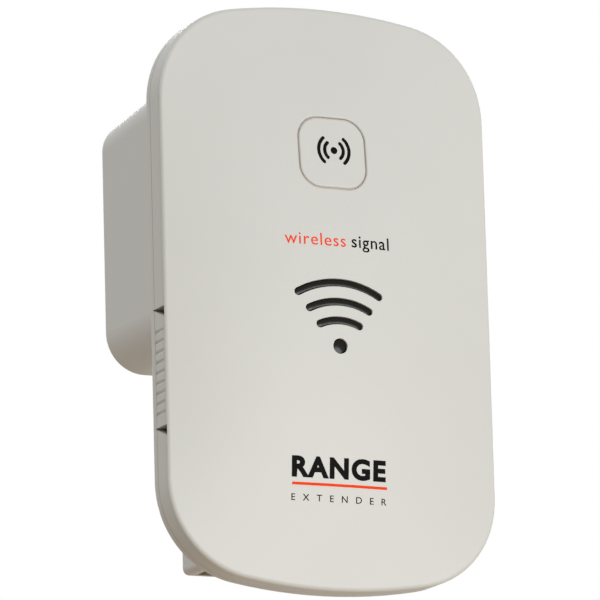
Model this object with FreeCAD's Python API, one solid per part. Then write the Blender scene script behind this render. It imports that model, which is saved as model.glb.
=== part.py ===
import FreeCAD, Part
import math
import os

from FreeCAD import Vector

# Plug-in wifi range extender: a thin pillow-fronted case with a mains power block and a
# network socket housing behind it.  Millimetres, +Z up.  The origin is midway between the
# two mains blades, on the face that meets the outlet: +Y goes into the wall, -Y is the front.

# ---- Case ---------------------------------------------------------------------------------
SLAB_WIDTH = 66.5
SLAB_HEIGHT = 110.0
SLAB_CORNER_R = 17.9
SLAB_END_R = 104.5             # slow arc of the top and bottom edges
SLAB_DEPTH = 6.5               # side band, from the front rim to the back of the slab
SLAB_CENTRE_Z = -14.2          # middle of the slab, below the blades
COVER_BAND = 4.3               # the front cover's share of the side band
CROWN = 4.6                    # how far the front face bulges past its rim
WALL = 1.8
RIM_FILLET = 0.8
BACK_FILLET = 0.8
SEAM_CHAMFER = 0.15
LIP_WALL = 1.0                 # tongue of the rear cover, inside the front cover
LIP_LENGTH = 1.8
LIP_GAP = 0.15

# ---- Power block and network socket housing, on the back ----------------------------------
BLOCK_DEPTH = 25.5             # slab back to wall face
BLOCK_HEIGHT = 48.2            # at the wall face
BLOCK_STEP = 0.95              # slab side to block side, at the slab back
BLOCK_DRAFT = 0.044            # growth per mm of depth, wall face to slab
BLOCK_TOP_R = 6.0
BLOCK_BOTTOM_R = 7.55
BLOCK_WALL = 2.0
BLOCK_EDGE_R = 0.8
HOUSING_WIDTH = 44.6
HOUSING_FOOT = 5.0             # slab bottom to housing bottom
HOUSING_R = 1.2

# ---- Front cover details, heights measured from the middle of the slab --------------------
BUTTON_SIZE = 13.3
BUTTON_R = 4.1
BUTTON_Z = 26.5
BUTTON_GAP = 0.25
FLANGE_REACH = 1.2             # button flange behind the cover
FLANGE_T = 0.8
FLANGE_GAP = 0.1
PRESS_TRAVEL = 0.3
PRESS_CLEARANCE = 0.3          # left under the flange when it is pressed
OPENING_EDGE_R = 0.3
LIGHT_Z = -15.2                # centre of the three arcs
LIGHT_ARCS = ((16.9, 29.0), (13.3, 27.0), (9.8, 24.0))    # radius, half angle in degrees
LIGHT_STROKE = 1.5
LIGHT_DOT_Z = -10.2
LIGHT_DOT_R = 1.45
LIGHT_RECESS = 0.35
LIGHT_GAP = 0.05
GUIDE_WIDTH = 20.0
GUIDE_T = 1.0
GUIDE_PIN_R = 0.8
GUIDE_EAR = 4.4
VENT_COUNT = 9
VENT_PITCH = 1.9
VENT_Z = -15.9                 # middle of the row of grooves
VENT_GROOVE = 0.8
VENT_GROOVE_DEPTH = 0.3
NOTCH_OFFSET = 11.05           # row centre to each notch
NOTCH_BASE = 2.0
NOTCH_DEPTH = 4.9              # past the parting line

# ---- Fasteners ----------------------------------------------------------------------------
CASE_SCREW_R = 1.3
CASE_SCREW_HEAD_R = 2.3
CASE_SCREW_HEAD_T = 1.4
CASE_SCREW_LENGTH = 3.7
BOARD_SCREW_R = 1.0
BOARD_SCREW_HEAD_R = 2.0
BOARD_SCREW_HEAD_T = 1.2
THREAD_GAP = 0.03
HOLE_GAP = 0.15
BOSS_WALL = 1.4

# ---- Boards -------------------------------------------------------------------------------
PCB_T = 1.2
PCB_REAR_GAP = 0.8             # main board to the rear cover's floor
PCB_EDGE_GAP = 0.3
PCB_TOP_GAP = 13.3             # slab top to the board's top edge
POWER_PCB_T = 1.6
POWER_PCB_Y = -17.0            # side that faces the wall
POWER_PCB_GAP = 1.0
SHEET_T = 0.4
SHEET_Y = -20.2

# ---- Parts on the main board: x, z, width, height, thickness --------------------------------
SOC_X = 2.0
SOC_Z = -4.0
SOC_SIZE = 12.0
SOC_T = 1.0
PAD_T = 0.5
HEATSINK_SIZE = 18.0
HEATSINK_FINS = 7
HEATSINK_FIN_T = 1.0
HEATSINK_BASE_T = 1.5
MEMORY_CHIP = (-16.0, 0.0, 8.0, 11.0, 1.0)
FLASH_CHIP = (-15.0, -11.5, 5.3, 6.0, 1.8)
CLOCK_CRYSTAL = (15.5, -10.0, 3.2, 2.5, 0.8)
VOLTAGE_REGULATOR = (-14.0, 14.0, 3.5, 6.5, 1.6)
SHIELD_CAN = (6.0, 17.5, 22.0, 8.0, 2.0)
SHIELD_SHEET = 0.2
NETWORK_TRANSFORMER_X = 9.0
NETWORK_TRANSFORMER_RISE = 14.2        # above the bottom of the socket housing
NETWORK_TRANSFORMER_SIZE = (13.0, 7.0, 4.5)
CAPACITOR_SIZE = (1.6, 0.8, 0.8)
CAPACITOR_PITCH = 4.0
CAPACITOR_ROWS = (-11.2, 11.6)         # from the middle of the processor
CAPACITORS_IN_ROW = 6

# ---- Parts on the power board: x, z, width, height, how tall ---------------------------------
TRANSFORMER = (-17.0, 8.6, 13.0, 6.0, 10.5)
WINDING_WIDTH = 9.0
WINDING_LENGTH = 11.0
TRANSFORMER_LIMB = 2.2
BRIDGE_RECTIFIER = (4.0, 15.5, 6.5, 6.5, 2.5)
NOISE_CAPACITOR = (0.0, -11.0, 8.0, 3.0, 8.0)
OPTOCOUPLER = (-5.0, -17.5, 4.6, 6.5, 3.5)
POWER_CONTROLLER = (9.5, -16.5, 5.0, 4.0, 1.5)
OUTPUT_DIODE = (18.0, -14.5, 5.0, 2.8, 2.3)
ELECTROLYTIC_R = 4.0
INPUT_CAPACITORS = ((14.0, 12.5), (22.6, 7.5))
INPUT_CAPACITOR_TALL = 12.0
OUTPUT_CAPACITORS = ((-21.5, -6.0), (-14.0, -13.0))
OUTPUT_CAPACITOR_TALL = 11.0
INDUCTOR_PLACE = (19.0, -2.5)
INDUCTOR_R = 3.0
INDUCTOR_TALL = 9.0
FUSE_R = 1.8
FUSE_ENDS = (-9.0, -1.0)
FUSE_Z = 18.6

# ---- Mains blades, two flat pins of the American type --------------------------------------
BLADE_PITCH = 12.7
BLADE_T = 1.52
BLADE_W = 6.35
BLADE_LENGTH = 16.5
BLADE_HOLE_R = 1.6
BLADE_HOLE_Y = 11.7
BLADE_TIP_R = 1.6
BLADE_SLOT_GAP = 0.1
TAIL_W = 3.0
CARRIER_WIDTH = 22.0
CARRIER_HEIGHT = 12.0
CARRIER_T = 6.0
CONTACT_T = 0.3

# ---- Network socket and reset switch -------------------------------------------------------
JACK_WIDTH = 16.0
JACK_DEPTH = 13.4              # height above the board
JACK_LENGTH = 21.0
JACK_SIDE_GAP = 0.7            # socket to the housing's inner side
JACK_RECESS = 0.4              # socket mouth behind the housing's face
JACK_GAP = 0.2
PORT_WIDTH = 11.9
PORT_HEIGHT = 7.0
PORT_DEPTH = 13.5
PORT_FLOOR = 3.2               # board to the port
LATCH_WIDTH = 6.2
LATCH_HEIGHT = 1.8
RESET_X = 10.0
RESET_HEIGHT = 4.0             # plunger axis above the board
RESET_HOLE_R = 1.0
RESET_PLUNGER_R = 1.2
RESET_END_GAP = 0.3
RESET_TRAVEL = 0.25
SLIDE_GAP = 0.06               # plunger in its switch body
CONTACT_COUNT = 8
CONTACT_PITCH = 1.02
CONTACT_WIRE = (0.4, 0.3)      # width, thickness
CONTACT_RISE = 2.2

# ---- Places that follow from the sizes above -----------------------------------------------
BACK_Y = -BLOCK_DEPTH
RIM_Y = BACK_Y - SLAB_DEPTH
PARTING_Y = RIM_Y + COVER_BAND
FLOOR_Y = BACK_Y - WALL
PCB_REAR_Y = FLOOR_Y - PCB_REAR_GAP
PCB_FRONT_Y = PCB_REAR_Y - PCB_T
SLAB_TOP_Z = SLAB_CENTRE_Z + SLAB_HEIGHT / 2
SLAB_BOTTOM_Z = SLAB_CENTRE_Z - SLAB_HEIGHT / 2
PCB_TOP_Z = SLAB_TOP_Z - PCB_TOP_GAP
PCB_INSET = WALL + LIP_GAP + LIP_WALL + PCB_EDGE_GAP
BLOCK_WIDTH = SLAB_WIDTH - 2 * (BLOCK_STEP + BLOCK_DRAFT * BLOCK_DEPTH)    # at the wall face
HOUSING_BOTTOM_Z = SLAB_BOTTOM_Z + HOUSING_FOOT
HOUSING_HEIGHT = JACK_RECESS + JACK_LENGTH + JACK_GAP + WALL
JACK_MOUTH_Z = HOUSING_BOTTOM_Z + JACK_RECESS
JACK_X = -HOUSING_WIDTH / 2 + WALL + JACK_SIDE_GAP + JACK_WIDTH / 2
JACK_TOP_Y = PCB_REAR_Y + JACK_DEPTH
HOUSING_Y = JACK_TOP_Y + JACK_GAP + WALL
PORT_Y0 = PCB_REAR_Y + PORT_FLOOR
BUTTON_CZ = SLAB_CENTRE_Z + BUTTON_Z
LIGHT_CZ = SLAB_CENTRE_Z + LIGHT_Z
DOT_CZ = SLAB_CENTRE_Z + LIGHT_DOT_Z
VENT_CZ = SLAB_CENTRE_Z + VENT_Z
POWER_PCB_FRONT_Y = POWER_PCB_Y - POWER_PCB_T
SEAT_Y = FLOOR_Y - BOSS_WALL - 0.2     # where the case screw bosses meet
HEATSINK_TOP_Y = SHEET_Y - SHEET_T


# ---- Shapes in the XZ plane, extruded along Y ----------------------------------------------
def box(x0, x1, y0, y1, z0, z1):
    return Part.makeBox(x1 - x0, y1 - y0, z1 - z0, Vector(x0, y0, z0))


def box_at(cx, cz, width, height, y0, y1):
    return box(cx - width / 2, cx + width / 2, y0, y1, cz - height / 2, cz + height / 2)


def rod_y(x, z, radius, y0, y1):
    return Part.makeCylinder(radius, y1 - y0, Vector(x, y0, z), Vector(0, 1, 0))


def rod_z(x, y, radius, z0, z1):
    return Part.makeCylinder(radius, z1 - z0, Vector(x, y, z0), Vector(0, 0, 1))


def rod_x(y, z, radius, x0, x1):
    return Part.makeCylinder(radius, x1 - x0, Vector(x0, y, z), Vector(1, 0, 0))


def ring_y(x, z, outer, inner, y0, y1):
    return rod_y(x, z, outer, y0, y1).cut(rod_y(x, z, inner, y0, y1))


def line(a, b):
    return Part.LineSegment(a, b).toShape()


def arc(a, middle, b):
    return Part.Arc(a, middle, b).toShape()


def prism(wire, y0, y1):
    """Fill a closed wire that lies at y0 and extrude it to y1."""
    return Part.Face(wire).extrude(Vector(0, y1 - y0, 0))


def rounded_wire(half_width, top, bottom, top_r, bottom_r, y, cx=0.0):
    """Rectangle with one radius at its upper corners and another at its lower ones."""
    k = math.sqrt(0.5)
    edges = []
    corners = ((1, top, -1, top_r), (-1, top, -1, top_r), (-1, bottom, 1, bottom_r),
               (1, bottom, 1, bottom_r))
    ends = []
    for side, z, inward, r in corners:
        centre = Vector(cx + side * (half_width - r), y, z + inward * r)
        flank = centre + Vector(side * r, 0, 0)
        edge = centre - Vector(0, 0, inward * r)
        middle = centre + Vector(side * r * k, 0, -inward * r * k)
        ends.append((flank, middle, edge))
    for i, (flank, middle, edge) in enumerate(ends):
        first, last = (flank, edge) if i % 2 == 0 else (edge, flank)
        edges.append(arc(first, middle, last))
        following = ends[(i + 1) % 4]
        start = following[0] if (i + 1) % 2 == 0 else following[2]
        edges.append(line(last, start))
    return Part.Wire(edges)


def rounded_prism(cx, cz, width, height, r, y0, y1):
    wire = rounded_wire(width / 2, cz + height / 2, cz - height / 2, r, r, y0, cx)
    return prism(wire, y0, y1)


def slab_wire(inset, y):
    """The case outline: straight sides, slow end arcs and tangent corner arcs."""
    half_w = SLAB_WIDTH / 2 - inset
    half_h = SLAB_HEIGHT / 2 - inset
    end_r = SLAB_END_R - inset
    corner_r = SLAB_CORNER_R - inset
    corner_x = half_w - corner_r
    end_z = half_h - end_r
    corner_z = end_z + math.sqrt((end_r - corner_r) ** 2 - corner_x ** 2)
    turn = math.atan2(corner_z - end_z, corner_x)

    def at(x, z):
        return Vector(x, y, SLAB_CENTRE_Z + z)

    def on_corner(angle):
        return corner_x + corner_r * math.cos(angle), corner_z + corner_r * math.sin(angle)

    join_x, join_z = on_corner(turn)
    mid_x, mid_z = on_corner(turn / 2)
    edges = [line(at(half_w, -corner_z), at(half_w, corner_z)),
             arc(at(half_w, corner_z), at(mid_x, mid_z), at(join_x, join_z)),
             arc(at(join_x, join_z), at(0, half_h), at(-join_x, join_z)),
             arc(at(-join_x, join_z), at(-mid_x, mid_z), at(-half_w, corner_z)),
             line(at(-half_w, corner_z), at(-half_w, -corner_z)),
             arc(at(-half_w, -corner_z), at(-mid_x, -mid_z), at(-join_x, -join_z)),
             arc(at(-join_x, -join_z), at(0, -half_h), at(join_x, -join_z)),
             arc(at(join_x, -join_z), at(mid_x, -mid_z), at(half_w, -corner_z))]
    return Part.Wire(edges)


def slab_prism(inset, y0, y1):
    return prism(slab_wire(inset, y0), y0, y1)


def crown_y(x, z, inset=0.0):
    """Y of the pillow-shaped front, at x and at z from the middle of the slab."""
    across = 1 - (2 * x / SLAB_WIDTH) ** 2
    along = 1 - (2 * z / SLAB_HEIGHT) ** 2
    return RIM_Y - CROWN * across * along + inset


def under_crown(inset):
    """Everything behind the front surface moved back by inset, one exact quadratic patch."""
    margin = 1.0
    reach_x = SLAB_WIDTH / 2 + margin
    reach_z = SLAB_HEIGHT / 2 + margin

    def poles(reach, half):
        end = 1 - (reach / half) ** 2
        return end, 2 - end, end

    across = poles(reach_x, SLAB_WIDTH / 2)
    along = poles(reach_z, SLAB_HEIGHT / 2)
    rows = []
    for i, height_x in enumerate(across):
        rows.append([Vector((i - 1) * reach_x, RIM_Y + inset - CROWN * height_x * height_z,
                            SLAB_CENTRE_Z + (j - 1) * reach_z)
                     for j, height_z in enumerate(along)])
    patch = Part.BezierSurface()
    patch.increase(2, 2)
    for i, row in enumerate(rows):
        for j, pole in enumerate(row):
            patch.setPole(i + 1, j + 1, pole)
    return patch.toShape().extrude(Vector(0, SLAB_DEPTH + CROWN + WALL, 0))


def arc_bar(radius, half_angle, stroke, y0, y1):
    """A bar of even width bent to an arc about the light centre, with round ends."""
    a = math.radians(half_angle)

    def at(r, angle):
        return Vector(r * math.sin(angle), y0, LIGHT_CZ + r * math.cos(angle))

    cap = stroke / 2 / radius
    outer = radius + stroke / 2
    inner = radius - stroke / 2
    edges = [arc(at(outer, -a), at(outer, 0), at(outer, a)),
             arc(at(outer, a), at(radius, a + cap), at(inner, a)),
             arc(at(inner, a), at(inner, 0), at(inner, -a)),
             arc(at(inner, -a), at(radius, -a - cap), at(outer, -a))]
    return prism(Part.Wire(edges), y0, y1)


def light_shapes(gap, y0, y1):
    """The three arcs and the dot, each smaller all round by gap."""
    bars = [arc_bar(r, angle, LIGHT_STROKE - 2 * gap, y0, y1) for r, angle in LIGHT_ARCS]
    return bars + [rod_y(0, DOT_CZ, LIGHT_DOT_R - gap, y0, y1)]


def edges_at_y(shape, y, spread=0.02):
    """Edges that lie in the plane at y."""
    found = []
    for edge in shape.Edges:
        bounds = edge.BoundBox
        if abs(bounds.YMin - y) < spread and abs(bounds.YMax - y) < spread:
            found.append(edge)
    return found


def mirrored_places(x, z_values):
    return [(side * x, z) for side in (-1, 1) for z in z_values]


CASE_SCREWS = (mirrored_places(18.0, [SLAB_TOP_Z - 9.3])
               + mirrored_places(SLAB_WIDTH / 2 - PCB_INSET - CASE_SCREW_R - BOSS_WALL,
                                 [SLAB_CENTRE_Z - 33.8]))
BOARD_SCREWS = mirrored_places(23.0, [SLAB_CENTRE_Z + 31.2, SLAB_CENTRE_Z - 0.8])
POWER_SCREWS = mirrored_places(BLOCK_WIDTH / 2 - 4.7, [-BLOCK_HEIGHT / 2 + 5.1,
                                                       BLOCK_HEIGHT / 2 - 5.1])
HEADER_X = 14.0
HEADER_Z = -19.0
HEADER_PITCH = 2.54
HEADER_PINS = [(HEADER_X + side * HEADER_PITCH / 2, HEADER_Z) for side in (-1, 1)]


# ---- Case ---------------------------------------------------------------------------------
def triangle_prism(corners, along):
    """Fill the triangle between three corners and extrude it along a vector."""
    return Part.Face(Part.makePolygon(corners + corners[:1])).extrude(along)


def groove_cutters():
    """Shallow V grooves on both sides, from the rim's rounding back to the parting line."""
    cutters = []
    y0 = RIM_Y + RIM_FILLET / 2
    for side in (-1, 1):
        bottom_x = side * (SLAB_WIDTH / 2 - VENT_GROOVE_DEPTH)
        mouth_x = side * (SLAB_WIDTH / 2 + VENT_GROOVE_DEPTH)
        for i in range(VENT_COUNT):
            z = VENT_CZ + (i - (VENT_COUNT - 1) / 2) * VENT_PITCH
            corners = [Vector(bottom_x, y0, z), Vector(mouth_x, y0, z - VENT_GROOVE),
                       Vector(mouth_x, y0, z + VENT_GROOVE)]
            cutters.append(triangle_prism(corners, Vector(0, COVER_BAND, 0)))
    return cutters


def notch_cutters():
    """The wedge notch at each end of both rows, with a level upper edge."""
    cutters = []
    front = RIM_Y + RIM_FILLET / 4
    reach = 2 * WALL
    for side in (-1, 1):
        x0 = side * (SLAB_WIDTH / 2 - WALL / 2) - reach / 2
        for end in (-1, 1):
            z = VENT_CZ + end * NOTCH_OFFSET
            corners = [Vector(x0, front, z - NOTCH_BASE / 2),
                       Vector(x0, front, z + NOTCH_BASE / 2),
                       Vector(x0, front + NOTCH_DEPTH, z + NOTCH_BASE / 2)]
            cutters.append(triangle_prism(corners, Vector(reach, 0, 0)))
    return cutters


def opening_edges(cover, half):
    """Outer edges of the button's opening, where it meets the crowned face."""
    found = []
    for edge in cover.Edges:
        bounds = edge.BoundBox
        inside = max(abs(bounds.XMin), abs(bounds.XMax), abs(bounds.ZMin - BUTTON_CZ),
                     abs(bounds.ZMax - BUTTON_CZ)) < half + 0.1
        outside_face = crown_y(half, BUTTON_Z + half, WALL / 2)
        if inside and bounds.YMax < outside_face and bounds.YLength < WALL / 2:
            found.append(edge)
    return found


def make_front_cover():
    front_y = RIM_Y - CROWN - 1
    outer = slab_prism(0, front_y, PARTING_Y).common(under_crown(0))
    rim = [edge for edge in outer.Edges if edge.BoundBox.YMax < RIM_Y + RIM_FILLET]
    outer = outer.makeFillet(RIM_FILLET, rim)
    outer = outer.makeChamfer(SEAM_CHAMFER, edges_at_y(outer, PARTING_Y))
    hollow = slab_prism(WALL, front_y, PARTING_Y).common(under_crown(WALL))
    cover = outer.cut(hollow)
    solid_front = under_crown(WALL / 2)
    for x, z in CASE_SCREWS:
        boss = rod_y(x, z, CASE_SCREW_R + BOSS_WALL, front_y, SEAT_Y).common(solid_front)
        cover = cover.fuse(boss).cut(
            rod_y(x, z, CASE_SCREW_R + THREAD_GAP, FLOOR_Y - CASE_SCREW_LENGTH, SEAT_Y))
    for x, z in BOARD_SCREWS:
        boss = rod_y(x, z, BOARD_SCREW_R + BOSS_WALL, front_y, PCB_FRONT_Y).common(solid_front)
        depth = board_screw_reach(x, z)
        cover = cover.fuse(boss).cut(
            rod_y(x, z, BOARD_SCREW_R + THREAD_GAP, PCB_FRONT_Y - depth, PCB_FRONT_Y))
    for x, z in guide_pins():
        pin = rod_y(x, z, GUIDE_PIN_R, front_y, guide_back_y() + 0.5).common(solid_front)
        cover = cover.fuse(pin)
    opening = BUTTON_SIZE + 2 * BUTTON_GAP
    cover = cover.cut(rounded_prism(0, BUTTON_CZ, opening, opening, BUTTON_R + BUTTON_GAP,
                                    front_y, PARTING_Y))
    cover = cover.makeFillet(OPENING_EDGE_R, opening_edges(cover, opening / 2))
    for window in light_shapes(0, front_y, PARTING_Y):
        cover = cover.cut(window)
    for cutter in groove_cutters() + notch_cutters():
        cover = cover.cut(cutter)
    return cover.removeSplitter()


def board_screw_reach(x, z):
    """Thread depth: from the main board to just short of the cover's outer face."""
    return PCB_FRONT_Y - crown_y(x, z - SLAB_CENTRE_Z, WALL / 2 + 0.2)


def block_solid(grow, y0, y1):
    """The drafted power block, grown outwards by grow, from y0 back to y1."""
    wires = []
    for y in (y0, y1):
        spread = grow - BLOCK_DRAFT * y
        wires.append(rounded_wire(BLOCK_WIDTH / 2 + spread, BLOCK_HEIGHT / 2 + spread,
                                  -BLOCK_HEIGHT / 2 - spread, BLOCK_TOP_R + grow,
                                  BLOCK_BOTTOM_R + grow, y))
    return Part.makeLoft(wires, True, True)


def housing_solid(wall, y0):
    """The network socket housing, or its hollow when wall is given."""
    width = HOUSING_WIDTH - 2 * wall
    height = HOUSING_HEIGHT - 2 * wall
    centre_z = HOUSING_BOTTOM_Z + HOUSING_HEIGHT / 2
    return rounded_prism(0, centre_z, width, height, max(HOUSING_R - wall, 0.4), y0,
                         HOUSING_Y - wall)


def make_rear_cover():
    plate = slab_prism(0, PARTING_Y, BACK_Y)
    plate = plate.makeFillet(BACK_FILLET, edges_at_y(plate, BACK_Y))
    plate = plate.makeChamfer(SEAM_CHAMFER, edges_at_y(plate, PARTING_Y))
    plate = plate.cut(slab_prism(WALL, PARTING_Y, FLOOR_Y))
    block = block_solid(0, BACK_Y - WALL / 2, 0)
    block = block.makeFillet(BLOCK_EDGE_R, edges_at_y(block, 0))
    housing = housing_solid(0, BACK_Y - WALL / 2)
    housing = housing.makeFillet(BLOCK_EDGE_R, edges_at_y(housing, HOUSING_Y))
    lip_y = PARTING_Y - LIP_LENGTH
    lip = slab_prism(WALL + LIP_GAP, lip_y, FLOOR_Y).cut(
        slab_prism(WALL + LIP_GAP + LIP_WALL, lip_y, FLOOR_Y))
    vent_half = NOTCH_OFFSET + NOTCH_BASE
    lip = lip.cut(box(-SLAB_WIDTH, SLAB_WIDTH, lip_y, FLOOR_Y,
                      VENT_CZ - vent_half, VENT_CZ + vent_half))
    cover = plate.fuse([block, housing])
    cover = cover.cut(block_solid(-BLOCK_WALL, FLOOR_Y - 1, -BLOCK_WALL))
    cover = cover.cut(housing_solid(WALL, FLOOR_Y - 1))
    cover = cover.fuse(lip)
    cover = cover.cut(jack_cutter())
    cover = cover.cut(rod_z(RESET_X, PCB_REAR_Y + RESET_HEIGHT, RESET_HOLE_R,
                            HOUSING_BOTTOM_Z - 1, HOUSING_BOTTOM_Z + WALL + 1))
    for x in (-BLADE_PITCH / 2, BLADE_PITCH / 2):
        cover = cover.cut(box_at(x, 0, BLADE_T + 2 * BLADE_SLOT_GAP,
                                 BLADE_W + 2 * BLADE_SLOT_GAP, -BLOCK_WALL - 1, 1))
    for x, z in CASE_SCREWS:
        seat = rod_y(x, z, CASE_SCREW_HEAD_R + 1, SEAT_Y, FLOOR_Y)
        recess = rod_y(x, z, CASE_SCREW_HEAD_R + HOLE_GAP, FLOOR_Y, BACK_Y + 1)
        shank = rod_y(x, z, CASE_SCREW_R + HOLE_GAP, SEAT_Y - 1, FLOOR_Y)
        cover = cover.fuse(seat).cut(recess).cut(shank)
    for x, z in POWER_SCREWS:
        post = ring_y(x, z, BOARD_SCREW_R + BOSS_WALL, BOARD_SCREW_R + THREAD_GAP,
                      POWER_PCB_Y, -BLOCK_WALL)
        cover = cover.fuse(post)
    for cutter in notch_cutters():
        cover = cover.cut(cutter)
    return cover.removeSplitter()


def case_screw(x, z):
    head = rod_y(x, z, CASE_SCREW_HEAD_R, FLOOR_Y, FLOOR_Y + CASE_SCREW_HEAD_T)
    head = head.makeFillet(0.4, edges_at_y(head, FLOOR_Y + CASE_SCREW_HEAD_T))
    shank = rod_y(x, z, CASE_SCREW_R, FLOOR_Y - CASE_SCREW_LENGTH, FLOOR_Y)
    top = FLOOR_Y + CASE_SCREW_HEAD_T
    return cross_recess(head.fuse(shank), x, z, top - 0.7, top + 1)


def board_screw(x, z, face_y, towards, length):
    """Pan head screw on a board face; towards is +1 when it is driven towards +Y."""
    head_end = face_y - towards * BOARD_SCREW_HEAD_T
    tip = face_y + towards * length
    head = rod_y(x, z, BOARD_SCREW_HEAD_R, min(face_y, head_end), max(face_y, head_end))
    head = head.makeFillet(0.4, edges_at_y(head, head_end))
    shank = rod_y(x, z, BOARD_SCREW_R, min(face_y, tip), max(face_y, tip))
    floor = head_end + towards * 0.6
    outside = head_end - towards
    return cross_recess(head.fuse(shank), x, z, min(floor, outside), max(floor, outside))


def cross_recess(screw, x, z, y0, y1):
    for width, height in ((2.0, 0.45), (0.45, 2.0)):
        screw = screw.cut(box_at(x, z, width, height, y0, y1))
    return screw


# ---- Button and light guide ---------------------------------------------------------------
def flange_front_y():
    """The button's flange clears the cover's inner face at its shallowest corner."""
    half = BUTTON_SIZE / 2 + FLANGE_REACH
    return crown_y(half, BUTTON_Z + half, WALL) + FLANGE_GAP


def button_back_y():
    return flange_front_y() + FLANGE_T


def make_button():
    cap = rounded_prism(0, BUTTON_CZ, BUTTON_SIZE, BUTTON_SIZE, BUTTON_R,
                        RIM_Y - CROWN - 1, button_back_y()).common(under_crown(0))
    crown_edges = [edge for edge in cap.Edges if edge.BoundBox.YMax < flange_front_y()
                   and edge.BoundBox.YLength < CROWN / 2]
    cap = cap.makeFillet(0.3, crown_edges)
    flange_size = BUTTON_SIZE + 2 * FLANGE_REACH
    flange = rounded_prism(0, BUTTON_CZ, flange_size, flange_size, BUTTON_R + FLANGE_REACH,
                           flange_front_y(), button_back_y())
    return cap.fuse(flange).removeSplitter()


def guide_back_y():
    """Rear face of the light guide's plate, set under the cover's inner face."""
    corner_z = max(abs(LIGHT_Z + LIGHT_ARCS[0][0] + 1.5), abs(LIGHT_DOT_Z - 3.0))
    return crown_y(GUIDE_WIDTH / 2, corner_z, WALL) + FLANGE_GAP + GUIDE_T


def guide_span():
    """Lowest and highest z of the light guide's plate."""
    return DOT_CZ - LIGHT_DOT_R - 1.2, LIGHT_CZ + LIGHT_ARCS[0][0] + LIGHT_STROKE / 2 + 1.0


def guide_pins():
    low, high = guide_span()
    middle = (low + high) / 2
    return [(side * (GUIDE_WIDTH / 2 + GUIDE_EAR / 2 - 0.4), middle) for side in (-1, 1)]


def make_light_guide():
    low, high = guide_span()
    back = guide_back_y()
    plate_front = back - GUIDE_T
    plate = rounded_prism(0, (low + high) / 2, GUIDE_WIDTH, high - low, 2.0, plate_front, back)
    ear_front = plate_front + 0.4
    for x, z in guide_pins():
        plate = plate.fuse(rounded_prism(x, z, GUIDE_EAR, GUIDE_EAR, 1.5, ear_front, back))
    for x, z in guide_pins():
        plate = plate.cut(rod_y(x, z, GUIDE_PIN_R + SLIDE_GAP, plate_front - 1, back + 1))
    behind_face = under_crown(LIGHT_RECESS)
    for bar in light_shapes(LIGHT_GAP, RIM_Y - CROWN - 1, plate_front + GUIDE_T / 2):
        plate = plate.fuse(bar.common(behind_face))
    return plate.removeSplitter()


def led_places():
    places = [(0, LIGHT_CZ + radius) for radius, _ in LIGHT_ARCS]
    return places + [(0, DOT_CZ)]


def make_led_baffle():
    """Black frame between board and light guide, one cell for each lamp."""
    low, high = guide_span()
    wall = 0.8
    width = GUIDE_WIDTH - 1.6
    frame = rounded_prism(0, (low + high) / 2, width, high - low, 1.5,
                          guide_back_y(), PCB_FRONT_Y)
    edges = [low] + sorted((a[1] + b[1]) / 2 for a, b in zip(led_places(), led_places()[1:]))
    edges.append(high)
    for z0, z1 in zip(edges, edges[1:]):
        frame = frame.cut(box(-width / 2 + wall, width / 2 - wall, guide_back_y() - 1,
                              PCB_FRONT_Y + 1, z0 + wall / 2 + (wall / 2 if z0 == low else 0),
                              z1 - wall / 2 - (wall / 2 if z1 == high else 0)))
    return frame


def make_status_leds():
    return [box_at(x, z, 1.6, 0.8, PCB_FRONT_Y - 0.6, PCB_FRONT_Y) for x, z in led_places()]


# ---- Main board and what is soldered to it -------------------------------------------------
def make_main_pcb():
    board = slab_prism(PCB_INSET, PCB_FRONT_Y, PCB_REAR_Y)
    board = board.cut(box(-SLAB_WIDTH, SLAB_WIDTH, PCB_FRONT_Y - 1, PCB_REAR_Y + 1,
                          PCB_TOP_Z, SLAB_TOP_Z))
    for x, z in CASE_SCREWS:
        board = board.cut(rod_y(x, z, CASE_SCREW_HEAD_R + 1 + PCB_EDGE_GAP,
                                PCB_FRONT_Y - 1, PCB_REAR_Y + 1))
    for x, z in BOARD_SCREWS:
        board = board.cut(rod_y(x, z, BOARD_SCREW_R + HOLE_GAP, PCB_FRONT_Y - 1, PCB_REAR_Y + 1))
    for x, z in HEADER_PINS:
        board = board.cut(rod_y(x, z, 0.5, PCB_FRONT_Y - 1, PCB_REAR_Y + 1))
    return board


def make_wps_switch():
    """Low tact switch under the button: body and the plunger that it guides."""
    size = 6.0
    radius = 1.7
    tip = button_back_y()
    body_top = tip + PRESS_TRAVEL + PRESS_CLEARANCE
    tail = body_top + 0.9
    body = rounded_prism(0, BUTTON_CZ, size, size, 0.5, body_top, PCB_FRONT_Y)
    body = body.cut(rod_y(0, BUTTON_CZ, radius + SLIDE_GAP, body_top - 1,
                          tail + PRESS_TRAVEL + 0.2))
    plunger = rod_y(0, BUTTON_CZ, radius, tip, tail)
    return body, plunger


def make_reset_switch():
    """Right-angle tact switch whose plunger points down at the pinhole."""
    axis_y = PCB_REAR_Y + RESET_HEIGHT
    tip = HOUSING_BOTTOM_Z + WALL + RESET_END_GAP
    body_face = tip + 1.1
    tail = body_face + 0.9
    body = box(RESET_X - 3, RESET_X + 3, PCB_REAR_Y, axis_y + 3, body_face, body_face + 3.6)
    body = body.cut(rod_z(RESET_X, axis_y, RESET_PLUNGER_R + SLIDE_GAP, body_face - 1,
                          tail + RESET_TRAVEL + 0.2))
    plunger = rod_z(RESET_X, axis_y, RESET_PLUNGER_R, tip, tail)
    return body, plunger


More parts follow.
